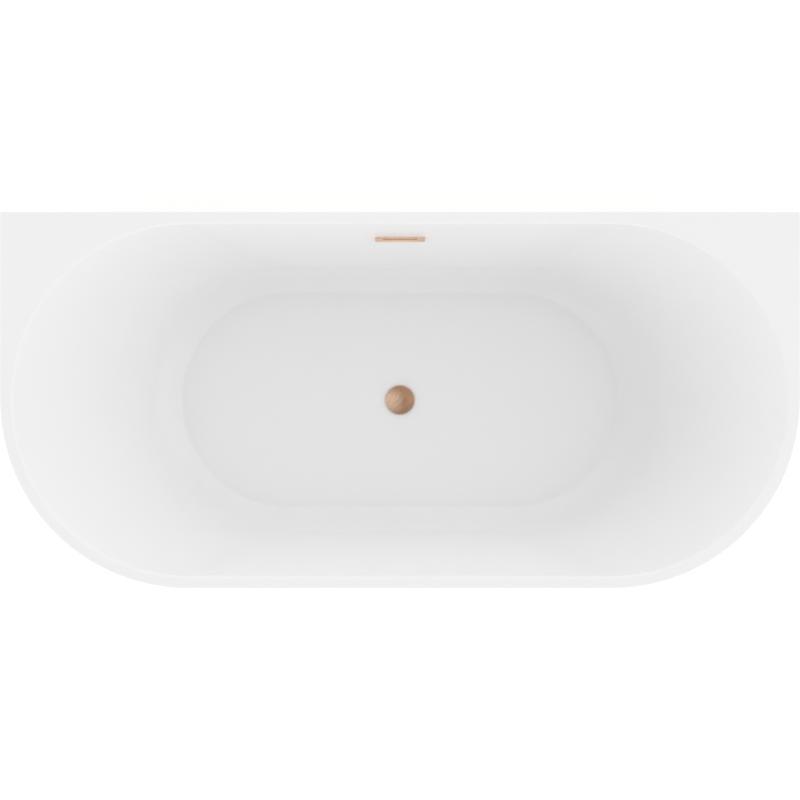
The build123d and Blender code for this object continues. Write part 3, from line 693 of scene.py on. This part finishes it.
def to_end(side):
    """Places a strap that reaches out from an end of the back rail."""
    return lambda path: carried(
        np.column_stack([side * (0.7 + path[:, 0]), 0.17 + 0 * path[:, 0], path[:, 1]]), (0, 1, 0), strip_section
    )


straps = [strap(127 * MM, to_front(x)) for x in (-0.42, 0.42)] + [strap(60 * MM, to_end(side)) for side in (-1, 1)]
build("skirt_straps", gather(*straps), "tub", "zinc_steel", ["skirt_brackets"], even=True)

# %% [markdown]
# ## Screws, nuts and levelling feet
#
# The small hardware is all turned shapes whose radius changes with the angle. A star-drive socket is a ripple of six,
# a nut is the smaller of a hexagon and a cone, which gives its corners their curved chamfers, and a thread is a
# zigzag that climbs by one pitch in each turn.

# %% Screws
def screw(at, up, head, height, shank, length):
    """A domed screw head with a star-drive socket and a plain shank; up is 1 or -1, the side that the head is on."""
    socket = 0.42 * head
    profile = np.array([(0, 0.35), (1, 0.35), (1.05, 1)]) * (socket, height)
    dome = np.linspace(0.55, 1, 7)
    fall = 0.75 * ((dome - 0.55) / 0.45) ** 2.5
    crown = np.column_stack([dome * head, height * (1 - fall)])
    profile = np.concatenate([profile, crown, [(head, 0), (shank, 0), (shank, -length), (0, -length)]])
    profile[:, 1] *= up
    star = lambda radius, z, angle: np.where(radius < 1.1 * socket, radius * (1 + 0.13 * np.cos(6 * angle)), radius)
    return turned(profile, at, 36, outline=star)


rail_y = 0.17
board_screws = [(x, y, TUBE_LOW) for x in (-0.33, 0.33) for y in (-rail_y, rail_y)]
build("frame_screws", gather(*[screw(at, -1, 4.5 * MM, 3 * MM, 2.4 * MM, 32 * MM) for at in board_screws]),
      "tub", "zinc_steel", ["board_screws"])
strap_screws = [(x, -0.327, 0.0196) for x in (-0.42, 0.42)] + [(x, rail_y, 0.0196) for x in (-0.77, 0.77)]
build("strap_screws", gather(*[screw(at, 1, 5 * MM, 3 * MM, 2.5 * MM, 7 * MM) for at in strap_screws]),
      "tub", "zinc_steel", ["skirt_screws"])

# %% Hexagons
def hexagon(across, bore, low, high, at):
    """A nut or a collar: radius = the smaller of the hexagon's and a 30 degree cone's at each end."""
    flank = 1 / np.tan(radians(30))
    near = np.array([0, 0.35, 0.7, 1.1, 1.6]) * MM
    heights = np.concatenate([low + near, high - near[::-1]])
    profile = np.column_stack([np.full(len(heights), across), heights])
    profile = np.concatenate([[(bore, low)], profile, [(bore, high)]])

    def outline(radius, z, angle):
        fold = np.mod(angle + pi / 6, pi / 3) - pi / 6
        cone = 0.485 * across + flank * np.minimum(z - low, high - z)
        return np.where(radius > bore + MM, np.minimum(across / 2 / np.cos(fold), cone), radius)

    return turned(profile, at, 60, ring=bool(bore), outline=outline)


feet = {name[9:]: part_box(name) for name in sorted(nodes) if name.startswith("foot_pad_")}
places = {name: ((low.x + high.x) / 2, (low.y + high.y) / 2, 0) for name, (low, high) in feet.items()}
for piece, node, low, high in (("welded_nuts", "weld_nuts", 122, 132), ("lock_nuts_m12", "lock_nuts", 116, 122)):
    shells = [hexagon(19 * MM, 6.2 * MM, low * MM, high * MM, at) for at in places.values()]
    build(piece, gather(*shells), "tub", "zinc_steel", [node], crease=25, even=True)

# %% Threaded rods and swivel pads
PITCH = 1.75 * MM
ROD_LOW, ROD_TOP = 6.2 * MM, 149 * MM


def thread(radius, z, angle):
    """A screw thread: the radius falls by up to 0.6 of a pitch in a zigzag that climbs one pitch a turn."""
    zigzag = np.abs(2 * np.mod(z / PITCH - angle / (2 * pi), 1) - 1)
    worn = np.clip(np.minimum(zigzag * 1.15, 1) - 0.08, 0, 1)
    return np.where(radius > 0, np.minimum(radius, 6 * MM - 0.6 * PITCH * (1 - worn)), 0)


def rod(at):
    """A threaded rod with a hexagon collar to turn it by."""
    heights = np.arange(ROD_LOW + MM, ROD_TOP - MM, PITCH / 7)
    profile = np.column_stack([np.full(len(heights), 6 * MM), heights])
    profile = np.concatenate([[(0, ROD_LOW), (4.8 * MM, ROD_LOW)], profile, [(4.8 * MM, ROD_TOP), (0, ROD_TOP)]])
    collar = hexagon(17 * MM, 0, 20 * MM, 30 * MM, at)
    return gather(turned(profile, at, 22, outline=thread), collar)


def ribs(radius, z, angle):
    """Eight buttress ribs from the pad's disc up to its boss."""
    ridge = np.clip((np.cos(8 * angle) - 0.72) / 0.12, 0, 1)
    slope = 11.2 * MM + 9.5 * MM * np.clip((12.6 * MM - z) / (7 * MM), 0, 1) * ridge
    return np.where((z > 5.3 * MM) & (z < 12.7 * MM) & (radius < 14 * MM), np.maximum(radius, slope), radius)


pad_corners = [(0, 0), (25, 0), (25, 5), (11, 5), (11, 14), (6.1, 14), (6.1, 6), (0, 6)]
pad_profile = rounded(pad_corners, [0, 0.8, 1.8, 0.7, 0.8, 0.5, 0, 0], 4) * MM
rise = np.column_stack([np.full(12, 11 * MM), np.linspace(5.8 * MM, 12.9 * MM, 12)])
boss_start = np.flatnonzero(pad_profile[:, 1] > 13 * MM)[0]
pad_profile = np.concatenate([pad_profile[:boss_start], rise, pad_profile[boss_start:]])
for name, at in places.items():
    build(f"pad_{name}", turned(pad_profile, at, 128, outline=ribs), f"pad_{name}", "black_plastic",
          [f"foot_pad_{name}"], even=True)
    build(f"threaded_rod_{name}", rod(at), f"rod_{name}", "zinc_steel", [f"foot_rod_{name}"], crease=25)

# %% [markdown]
# ## The waste and its trap
#
# Under the drain hangs a moulded body with a side inlet for the hose, then a union nut with finger grips, then a
# bottle trap whose bowl can turn to meet the drain pipe. All are turned shapes with rounded edges; the two side pipes
# are turned about a level line instead of an upright one.

# %% Waste body and union nuts
def pipe(outer, inner, start, end, z, extra=()):
    """A level pipe along Y at height z, with rounded ends; extra holds more outline corners for a collar."""
    corners = [(inner, start), *extra, (outer, end), (inner, end)] if extra else [
        (inner, start), (outer, start), (outer, end), (inner, end)]
    return turned(rounded(np.array(corners) * MM, 0.6 * MM, 3), (0, 0, z * MM), 56, "y", ring=True)


def grips(count, depth, smallest):
    """An outline with shallow flutes all round, on the outer face only."""
    def outline(radius, height, angle):
        flute = np.clip(np.cos(count * angle) * 2.2 - 0.6, 0, 1)
        return np.where(radius > smallest * MM, radius - depth * MM * flute, radius)
    return outline


body_corners = [(23.5, 166.8), (38, 166.8), (38, 161.8), (28, 161.8), (28, 86), (24, 86), (24, 70), (19.5, 70)]
body_corners += [(19.5, 120), (23.5, 120)]
body_profile = rounded(np.array(body_corners) * MM, np.array([0.5, 1.5, 1.5, 3, 2, 1, 0.8, 0.8, 1, 1]) * MM, 4)
side_inlet = pipe(12, 9.5, 22, 60, 104)
build("waste_cup", gather(turned(body_profile, columns=80, ring=True), side_inlet), "tub", "waste_plastic",
      ["waste_body"], even=True)
nut_corners = [(20.6, 61), (31, 61), (31, 80), (24.1, 80), (24.1, 64), (20.6, 64)]
nut_profile = rounded(np.array(nut_corners) * MM, 0.9 * MM, 3)
build("union_nut", turned(nut_profile, columns=192, ring=True, outline=grips(12, 1.8, 28)), "tub", "waste_plastic",
      ["trap_nut"], even=True)
lower_nut = rounded(np.array([(12.05, 44), (17.9, 44), (17.9, 60), (12.05, 60)]) * MM, 0.9 * MM, 3)
build("hose_clamp_nut_lower", turned(lower_nut, (0, 0, 0.104), 160, "y", True, grips(10, 0.9, 16)), "tub",
      "waste_plastic", ["hose_nut_lower"], even=True)
upper_nut = rounded(np.array([(11.05, 451), (16.1, 451), (16.1, 466), (11.05, 466)]) * MM, 0.9 * MM, 3)
build("hose_clamp_nut_upper", turned(upper_nut, (0, 0.373, 0), 160, ring=True, outline=grips(10, 0.8, 14)), "tub",
      "waste_plastic", ["hose_nut_upper"], even=True)

# %% Trap bowl
bowl_corners = [(0, 10), (50, 10), (50, 60), (47, 60), (47, 13), (0, 13)]
bowl_profile = rounded(np.array(bowl_corners) * MM, np.array([0, 7, 0.9, 0.9, 4.5, 0]) * MM, 6)
collar = [(23.5, 40), (23.5, 80), (20, 80)]
outlet = pipe(20, 17.5, 40, 130, 36, collar)
bowl = build("trap_cup", gather(turned(bowl_profile, columns=96), outlet), "trap", "waste_plastic", ["trap_bowl"],
             even=True)

# %% [markdown]
# ## The click-clack plug
#
# The cap in the floor of the bath is a shallow brass dome on a sprung stem: one push shuts it, the next lets it up by
# nine millimetres. Its profile is part of a circle with a rolled edge. The spring under it is a helix, and when the
# plug rises the spring has to stretch, so it is put on neither body.

# %% Cap
CAP_RADIUS = 33.2
CAP_LOW, CAP_TOP = 180.4, 187.5
cap_rise = CAP_TOP - CAP_LOW - 3
dome_radius = (CAP_RADIUS**2 + cap_rise**2) / (2 * cap_rise)
dome_x = np.linspace(0, CAP_RADIUS - 2, 26)
dome = np.column_stack([dome_x, CAP_TOP - dome_radius + np.sqrt(dome_radius**2 - dome_x**2)])
edge_corners = [tuple(dome[-1]), (CAP_RADIUS, CAP_LOW + 3), (CAP_RADIUS, CAP_LOW), (7, CAP_LOW), (7, 178), (0, 178)]
cap_edge = rounded(edge_corners, [0, 1.5, 0.9, 0.8, 0.5, 0], 6)
cap = build("plug_cap_dome", turned(np.concatenate([dome[:-1], cap_edge]) * MM, columns=128), "plug", "copper",
            ["drain_cap"], crease=60)

# %% Spring
SPRING_LOW, SPRING_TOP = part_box("plug_spring")[0].z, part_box("plug_spring")[1].z
turns = np.linspace(0, 6.5, 200)
climb = SPRING_LOW + 0.6 * MM + (SPRING_TOP - SPRING_LOW - 1.2 * MM) * turns / turns[-1]
wire_angle = np.linspace(0, 2 * pi, 8, endpoint=False)
coil_radius = 4.6 * MM + 0.5 * MM * np.cos(wire_angle)[None, :]
spin = (2 * pi * turns)[:, None]
coil_z = climb[:, None] + 0.5 * MM * np.sin(wire_angle)[None, :]
coil = [coil_radius * np.cos(spin), coil_radius * np.sin(spin), coil_z]
coil = np.stack(np.broadcast_arrays(*coil), axis=-1)
ends = np.arange(8)[None, :]
spring = build("coil_spring", (coil.reshape(-1, 3), [quads(200, 8).reshape(-1, 4), ends, ends + 199 * 8]), None,
               "zinc_steel", ["plug_spring"], crease=60)
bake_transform(spring)

# %% [markdown]
# ## Shader arithmetic
#
# A finish is a node tree, and a tree of Math nodes is hard to read. A small class holds a socket and answers to
# Python's operators, so that an expression writes the nodes. Every other node comes from one method, which takes the
# node's settings first and then what its sockets hold or are linked to.

# %% Signals and finishes
class Signal:
    """A socket that Python arithmetic works on: each operation adds one Math node."""

    def __init__(self, nodes, socket):
        self.nodes = nodes
        self.socket = socket

    def maths(self, operation, *terms):
        return self.nodes.node("ShaderNodeMath", {"operation": operation}, dict(enumerate(terms)))

    def __add__(self, other):
        return self.maths("ADD", self, other)

    def __sub__(self, other):
        return self.maths("SUBTRACT", self, other)

    def __rsub__(self, other):
        return self.maths("SUBTRACT", other, self)

    def __mul__(self, other):
        return self.maths("MULTIPLY", self, other)

    def __gt__(self, other):
        return self.maths("GREATER_THAN", self, other)

    def __mod__(self, other):
        return self.maths("FLOORED_MODULO", self, other)

    __radd__ = __add__
    __rmul__ = __mul__

    def held(self):
        """Cut off below 0 and above 1."""
        clamped = self.maths("ADD", self, 0.0)
        clamped.socket.node.use_clamp = True
        return clamped

    def most(self, other):
        return self.maths("MAXIMUM", self, other)

    def size(self):
        return self.maths("ABSOLUTE", self)


class Nodes:
    """A node tree being written."""

    def __init__(self, tree):
        self.tree = tree

    def feed(self, made, sockets):
        """Give sockets their values, or link them to signals."""
        for name, value in sockets.items():
            if isinstance(value, Signal):
                self.tree.links.new(value.socket, made.inputs[name])
            else:
                made.inputs[name].default_value = value

    def node(self, kind, settings=None, sockets=None, output=0):
        """Add a node, with its settings before its sockets, and give back one of its outputs."""
        made = self.tree.nodes.new(kind)
        for name, value in (settings or {}).items():
            setattr(made, name, value)
        self.feed(made, sockets or {})
        return Signal(self, made.outputs[output])


class Finish(Nodes):
    """A material being made: its nodes, and the Principled shader that they feed."""

    def __init__(self, name, constants):
        self.material = bpy.data.materials.new(name)
        self.material.use_nodes = True
        super().__init__(self.material.node_tree)
        self.shader = self.tree.nodes["Principled BSDF"]
        self.feed(self.shader, constants)

    def where(self, output="Object"):
        """Where on the piece a point is, or with "Normal" which way the surface faces there."""
        return self.node("ShaderNodeTexCoord", output=output)

    def part(self, vector, axis):
        """One number of a vector."""
        return self.node("ShaderNodeSeparateXYZ", None, {"Vector": vector}, axis)

    def moved(self, place=(0, 0, 0), turn=(0, 0, 0), scale=(1, 1, 1)):
        """Object coordinates seen from a place along turned axes, then scaled."""
        return self.node("ShaderNodeMapping", {"vector_type": "TEXTURE"}, {
            "Vector": self.where(), "Location": place, "Rotation": turn,
            "Scale": tuple(1 / value for value in scale)})

    def noise(self, where, scale=1.0, detail=2.0, rough=0.5):
        """Soft random values round one half."""
        return self.node("ShaderNodeTexNoise", None, {
            "Vector": where, "Scale": scale, "Detail": detail, "Roughness": rough})

    def mix(self, share, first, second):
        """A colour between two colours."""
        return self.node("ShaderNodeMix", {"data_type": "RGBA"}, {0: share, 6: first, 7: second}, 2)

    def raised(self, height, distance):
        """The normal of a surface with this height on it, in metres."""
        return self.node("ShaderNodeBump", None, {"Height": height, "Distance": distance, "Strength": 1.0})


def rgb(red, green, blue):
    return (red, green, blue, 1.0)


def grey(value):
    return rgb(value, value, value)


finishes = {}

# %% [markdown]
# ## White acrylic
#
# Cast acrylic over a vacuum mould has a deep gloss, but it isn't a mirror: the sheet ripples very slightly, and
# wiping leaves it a little less smooth in some places than in others. The ripple is far too small to model, so it
# goes into the normals, and the wiping into the roughness. The basin is made whiter than a real sheet, so that light
# thrown from wall to wall keeps the well nearly as bright as the rim. The skirt is made darker than the basin, though
# real ones match: this is painted shade, because in a white tent the same white would leave no edge between the skirt
# and the floor.

# %% Acrylic
def make_acrylic(name, whiteness):
    finish = Finish(name, {"IOR": 1.49})
    place = finish.where()
    white = finish.mix(finish.noise(place, 2.5), grey(whiteness), grey(whiteness + 0.015))
    wiped = 0.09 + 0.06 * finish.noise(place, 14, 3)
    ripple = finish.noise(place, 26, 1) + 0.12 * finish.noise(place, 240, 1)
    finish.feed(finish.shader, {"Base Color": white, "Roughness": wiped, "Normal": finish.raised(ripple, 0.00006)})
    return finish.material


finishes["acrylic"] = make_acrylic("cast_acrylic", 0.94)
# The skirt's lower whiteness is painted shade.
finishes["skirt_panel"] = make_acrylic("skirt_acrylic_painted_shade", 0.76)

# %% [markdown]
# ## Glass fibre and resin
#
# Chopped strands lie in every direction under a skin of resin. Noise that is stretched hard in one direction gives
# strands; four such layers, each turned its own way, give the mat. The strands stand up through the resin, look paler
# than it, and are duller.

# %% Laminate
def make_laminate():
    finish = Finish("glass_fibre_laminate", {"IOR": 1.52})
    mat = None
    for index, turn in enumerate([(0, 0, 0.3), (0.5, 0.2, 1.2), (0.9, 1.0, 2.2), (0.1, 1.5, 2.9)]):
        lines = finish.noise(finish.moved((index, 0, 0), turn, (16, 330, 330)), 1.0, 1)
        strands = ((lines - 0.56) * 9).held()
        mat = strands if mat is None else mat.most(strands)
    place = finish.where()
    pool = finish.noise(place, 9, 3)
    resin = finish.mix(pool, rgb(0.47, 0.46, 0.37), rgb(0.62, 0.61, 0.52))
    colour = finish.mix(mat * 0.75, resin, rgb(0.76, 0.75, 0.69))
    height = mat * 0.5 + finish.noise(place, 55, 3)
    finish.feed(finish.shader, {"Base Color": colour, "Roughness": 0.42 + 0.25 * mat,
                                "Normal": finish.raised(height, 0.0006)})
    return finish.material


finishes["laminate"] = make_laminate()

# %% [markdown]
# ## Plywood
#
# Birch ply shows long grain on its faces and its plies, light and dark in turn, on its edges. The way the surface
# faces tells the two apart, and the height picks the ply.

# %% Board
BOARD_LOW, BOARD_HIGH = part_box("base_board")[0].z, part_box("base_board")[1].z
PLIES = 9


def make_board():
    finish = Finish("plywood", {"IOR": 1.45})
    grain = finish.noise(finish.moved(scale=(3, 70, 70)), 1.0, 4, 0.6)
    cloud = finish.noise(finish.moved(scale=(2, 9, 9)), 1.0, 3)
    face = finish.mix(grain, rgb(0.42, 0.27, 0.14), rgb(0.72, 0.55, 0.36))
    face = finish.mix(cloud * 0.6, face, rgb(0.66, 0.47, 0.28))
    ply = (finish.part(finish.where(), 2) - BOARD_LOW) * (PLIES / (BOARD_HIGH - BOARD_LOW))
    dark = (ply % 2) > 1
    pores = finish.noise(finish.where(), 900, 2)
    edge = finish.mix(dark, rgb(0.66, 0.5, 0.32), rgb(0.3, 0.18, 0.09))
    edge = finish.mix(pores * 0.5, edge, rgb(0.45, 0.3, 0.17))
    flat = finish.part(finish.where("Normal"), 2).size() > 0.7
    finish.feed(finish.shader, {"Base Color": finish.mix(flat, edge, face), "Roughness": 0.55 + 0.2 * grain,
                                "Normal": finish.raised(grain + pores * 0.4, 0.00025)})
    return finish.material


finishes["board"] = make_board()

# %% [markdown]
# ## Metals
#
# The frame is powder coated, a grey skin with a fine orange peel. Zinc plate is bright but cloudy. The cap and the
# overflow cover are brushed copper plate: the brushing is noise stretched across the piece, in its tone, its
# roughness and its height. Each copper piece also has a painted highlight round a place of its own, and the cover's
# tones are lighter than the cap's: painted light on the same copper.

# %% Powder coat and zinc
def make_powder_coat():
    finish = Finish("grey_powder_coat", {"IOR": 1.5})
    place = finish.where()
    peel = finish.noise(place, 420, 2)
    scuffs = ((finish.noise(finish.moved(scale=(30, 160, 160)), 1.0, 4, 0.7) - 0.64) * 12).held()
    colour = finish.mix(finish.noise(place, 6), rgb(0.27, 0.28, 0.29), rgb(0.33, 0.34, 0.35))
    finish.feed(finish.shader, {"Base Color": finish.mix(scuffs * 0.4, colour, grey(0.45)),
                                "Roughness": 0.4 + 0.12 * peel + 0.15 * scuffs,
                                "Normal": finish.raised(peel, 0.00018)})
    return finish.material


def make_zinc():
    finish = Finish("zinc_plate", {"Metallic": 1.0})
    place = finish.where()
    cloud = finish.noise(place, 60, 4, 0.6)
    drawn = finish.noise(finish.moved(scale=(240, 240, 40)), 1.0, 3)
    colour = finish.mix(cloud, rgb(0.5, 0.51, 0.53), rgb(0.74, 0.73, 0.69))
    finish.feed(finish.shader, {"Base Color": colour, "Roughness": 0.24 + 0.22 * cloud + 0.08 * drawn,
                                "Normal": finish.raised(drawn + cloud, 0.00004)})
    return finish.material


finishes["frame_steel"] = make_powder_coat()
finishes["zinc_steel"] = make_zinc()

# %% Copper
def make_copper(name, low, high, turn, painted_highlight_at, fading):
    """Brushed copper plate between two tones, its strokes along a turned line.

    A bright patch round a place stands in for a reflection, which so soft a light doesn't give; it fades with the
    distance from there.
    """
    finish = Finish(name, {"Metallic": 1.0})
    strokes = finish.noise(finish.moved(turn=(0, 0, turn), scale=(40, 1500, 400)), 1.0, 3, 0.7)
    scratches = ((finish.noise(finish.moved((0.3, 0, 0), (0, 0, turn), (45, 420, 200)), 1.0, 2) - 0.54) * 9).held()
    cloud = finish.noise(finish.where(), 70, 3)
    apart = finish.node("ShaderNodeVectorMath", {"operation": "DISTANCE"}, {0: finish.where(), 1: painted_highlight_at}, 1)
    # The painted highlight: the colour brightens towards the given place and fades with the distance from it.
    near = (1.25 - apart * fading).held()
    tone = (near * 0.85 + strokes * 0.4 + cloud * 0.4 + scratches * (0.08 + 0.5 * near) - 0.36).held()
    finish.feed(finish.shader, {"Base Color": finish.mix(tone, low, high),
                                "Roughness": 0.3 + 0.16 * strokes,
                                "Normal": finish.raised(strokes + scratches * 0.6, 0.00006)})
    return finish.material


BRIGHT_COPPER = rgb(0.98, 0.7, 0.51)
# The cap's painted highlight sits to the left of its middle.
CAP_PAINTED_HIGHLIGHT_AT = (-0.022, -0.003, 0.187)
finishes["copper"] = make_copper("brushed_copper", rgb(0.44, 0.25, 0.15), BRIGHT_COPPER, 1.0, CAP_PAINTED_HIGHLIGHT_AT, 36)
# The cover's copper has lighter tones than the cap's as painted light, and a painted highlight round a place just
# above it.
finishes["overflow_cover"] = make_copper("copper_with_painted_light", rgb(0.72, 0.46, 0.3), BRIGHT_COPPER, 0.0, (0, 0.36, 0.5), 12)
# The waste's metal also has a painted highlight, round a place at the drain.
finishes["waste_metal"] = make_copper(
    "plated_brass", rgb(0.5, 0.31, 0.2), rgb(0.78, 0.53, 0.38), 0.0, (0, 0, 0.19), 10
)

# %% [markdown]
# ## Plastics and rubber
#
# Moulded parts carry the fine spark texture of their mould, and a little dust. One function makes them all; only the
# colours, the gloss and the grain differ.

# %% Moulded parts
def make_moulded(name, low, high, rough, grain, depth):
    """A moulded plastic or rubber between two colours."""
    finish = Finish(name, {"IOR": 1.48})
    place = finish.where()
    spark = finish.noise(place, grain, 2, 0.6)
    cloud = finish.noise(place, 22, 4, 0.6)
    finish.feed(finish.shader, {"Base Color": finish.mix(cloud, low, high),
                                "Roughness": rough + 0.18 * (spark * cloud),
                                "Normal": finish.raised(spark, depth)})
    return finish.material


finishes["black_plastic"] = make_moulded("black_plastic", grey(0.018), grey(0.05), 0.42, 1100, 0.00007)
finishes["waste_plastic"] = make_moulded("white_pipe_plastic", grey(0.66), rgb(0.8, 0.8, 0.78), 0.28, 700, 0.00003)
finishes["hose_plastic"] = make_moulded("grey_hose", rgb(0.4, 0.41, 0.42), rgb(0.52, 0.53, 0.54), 0.38, 600, 0.00004)
finishes["rubber"] = make_moulded("black_rubber", grey(0.012), grey(0.04), 0.6, 900, 0.0001)

# %% [markdown]
# ## Dress every piece
#
# New pieces carry the name of their slot, and a CAD node's own material is named after its slot, so one loop gives
# everything its finish. A finish under a piece's own name comes first.

# %% Dress the pieces
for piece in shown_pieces():
    slot = piece.get("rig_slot") or piece.material_slots[0].material.name.split(".")[0]
    finish = finishes.get(piece.name, finishes[slot])
    if piece.material_slots:
        piece.material_slots[0].material = finish
    else:
        piece.data.materials.append(finish)

# %% [markdown]
# ## Light and floor
#
# A white tent with no lamps in it: the sky is dim overhead and brighter low down, most of all behind the left front
# corner and the right end. Each glow is the cosine of the angle to its middle, cubed. The floor is pale and glows a
# little, so that it stays white behind the bath.

# %% Light
world = bpy.data.worlds.new("tent")
world.use_nodes = True
bpy.context.scene.world = world
bpy.context.scene.view_settings.view_transform = "Standard"
tent = Nodes(world.node_tree)
sight = tent.node("ShaderNodeTexCoord", output="Object")
# The powers came from a fit by another program, and were then trimmed by hand.
GLOWS = [
    (0, 10, 0.74), (90, 10, 0.31), (135, 10, 0.68), (180, 10, 0.1), (225, 10, 0.88), (270, 10, 0.66),
    (0, 45, 0.5), (90, 45, 0.43),
]
brightness = 0.25
for azimuth, elevation, power in GLOWS:
    turn, tilt = radians(azimuth), radians(elevation)
    middle = (cos(turn) * cos(tilt), sin(turn) * cos(tilt), sin(tilt))
    facing = tent.node("ShaderNodeVectorMath", {"operation": "DOT_PRODUCT"}, {0: sight, 1: middle}, 1).most(0)
    brightness = brightness + power * (facing * facing * facing)
tent.feed(tent.tree.nodes["Background"], {"Color": grey(1.0), "Strength": brightness})
print(len(GLOWS), "glows in the sky")

# %% Floor
def make_floor():
    """A pale floor that is seen from above only, so that the bath can be looked at from below."""
    finish = Finish("studio_floor", {"Roughness": 0.9, "Emission Strength": 0.63})
    place = finish.where()
    pale = finish.mix(finish.noise(place, 1.5), grey(0.49), grey(0.51))
    finish.feed(finish.shader, {"Base Color": pale, "Emission Color": grey(1.0)})
    behind = finish.node("ShaderNodeNewGeometry", output="Backfacing")
    clear = finish.node("ShaderNodeBsdfTransparent")
    pale_floor = Signal(finish, finish.shader.outputs[0])
    both = finish.node("ShaderNodeMixShader", None, {0: behind, 1: pale_floor, 2: clear})
    finish.feed(finish.tree.nodes["Material Output"], {"Surface": both})
    return finish.material


floor_mesh = bpy.data.meshes.new("studio_floor")
floor_points = np.array([(-1, -1, 0), (1, -1, 0), (1, 1, 0), (-1, 1, 0)]) * 30.0
floor_mesh.from_pydata(floor_points.tolist(), [], [(0, 1, 2, 3)])
floor_mesh.materials.append(make_floor())
studio_floor = bpy.data.objects.new("studio_floor", floor_mesh)
bpy.context.scene.collection.objects.link(studio_floor)
studio_floor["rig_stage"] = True

low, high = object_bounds()
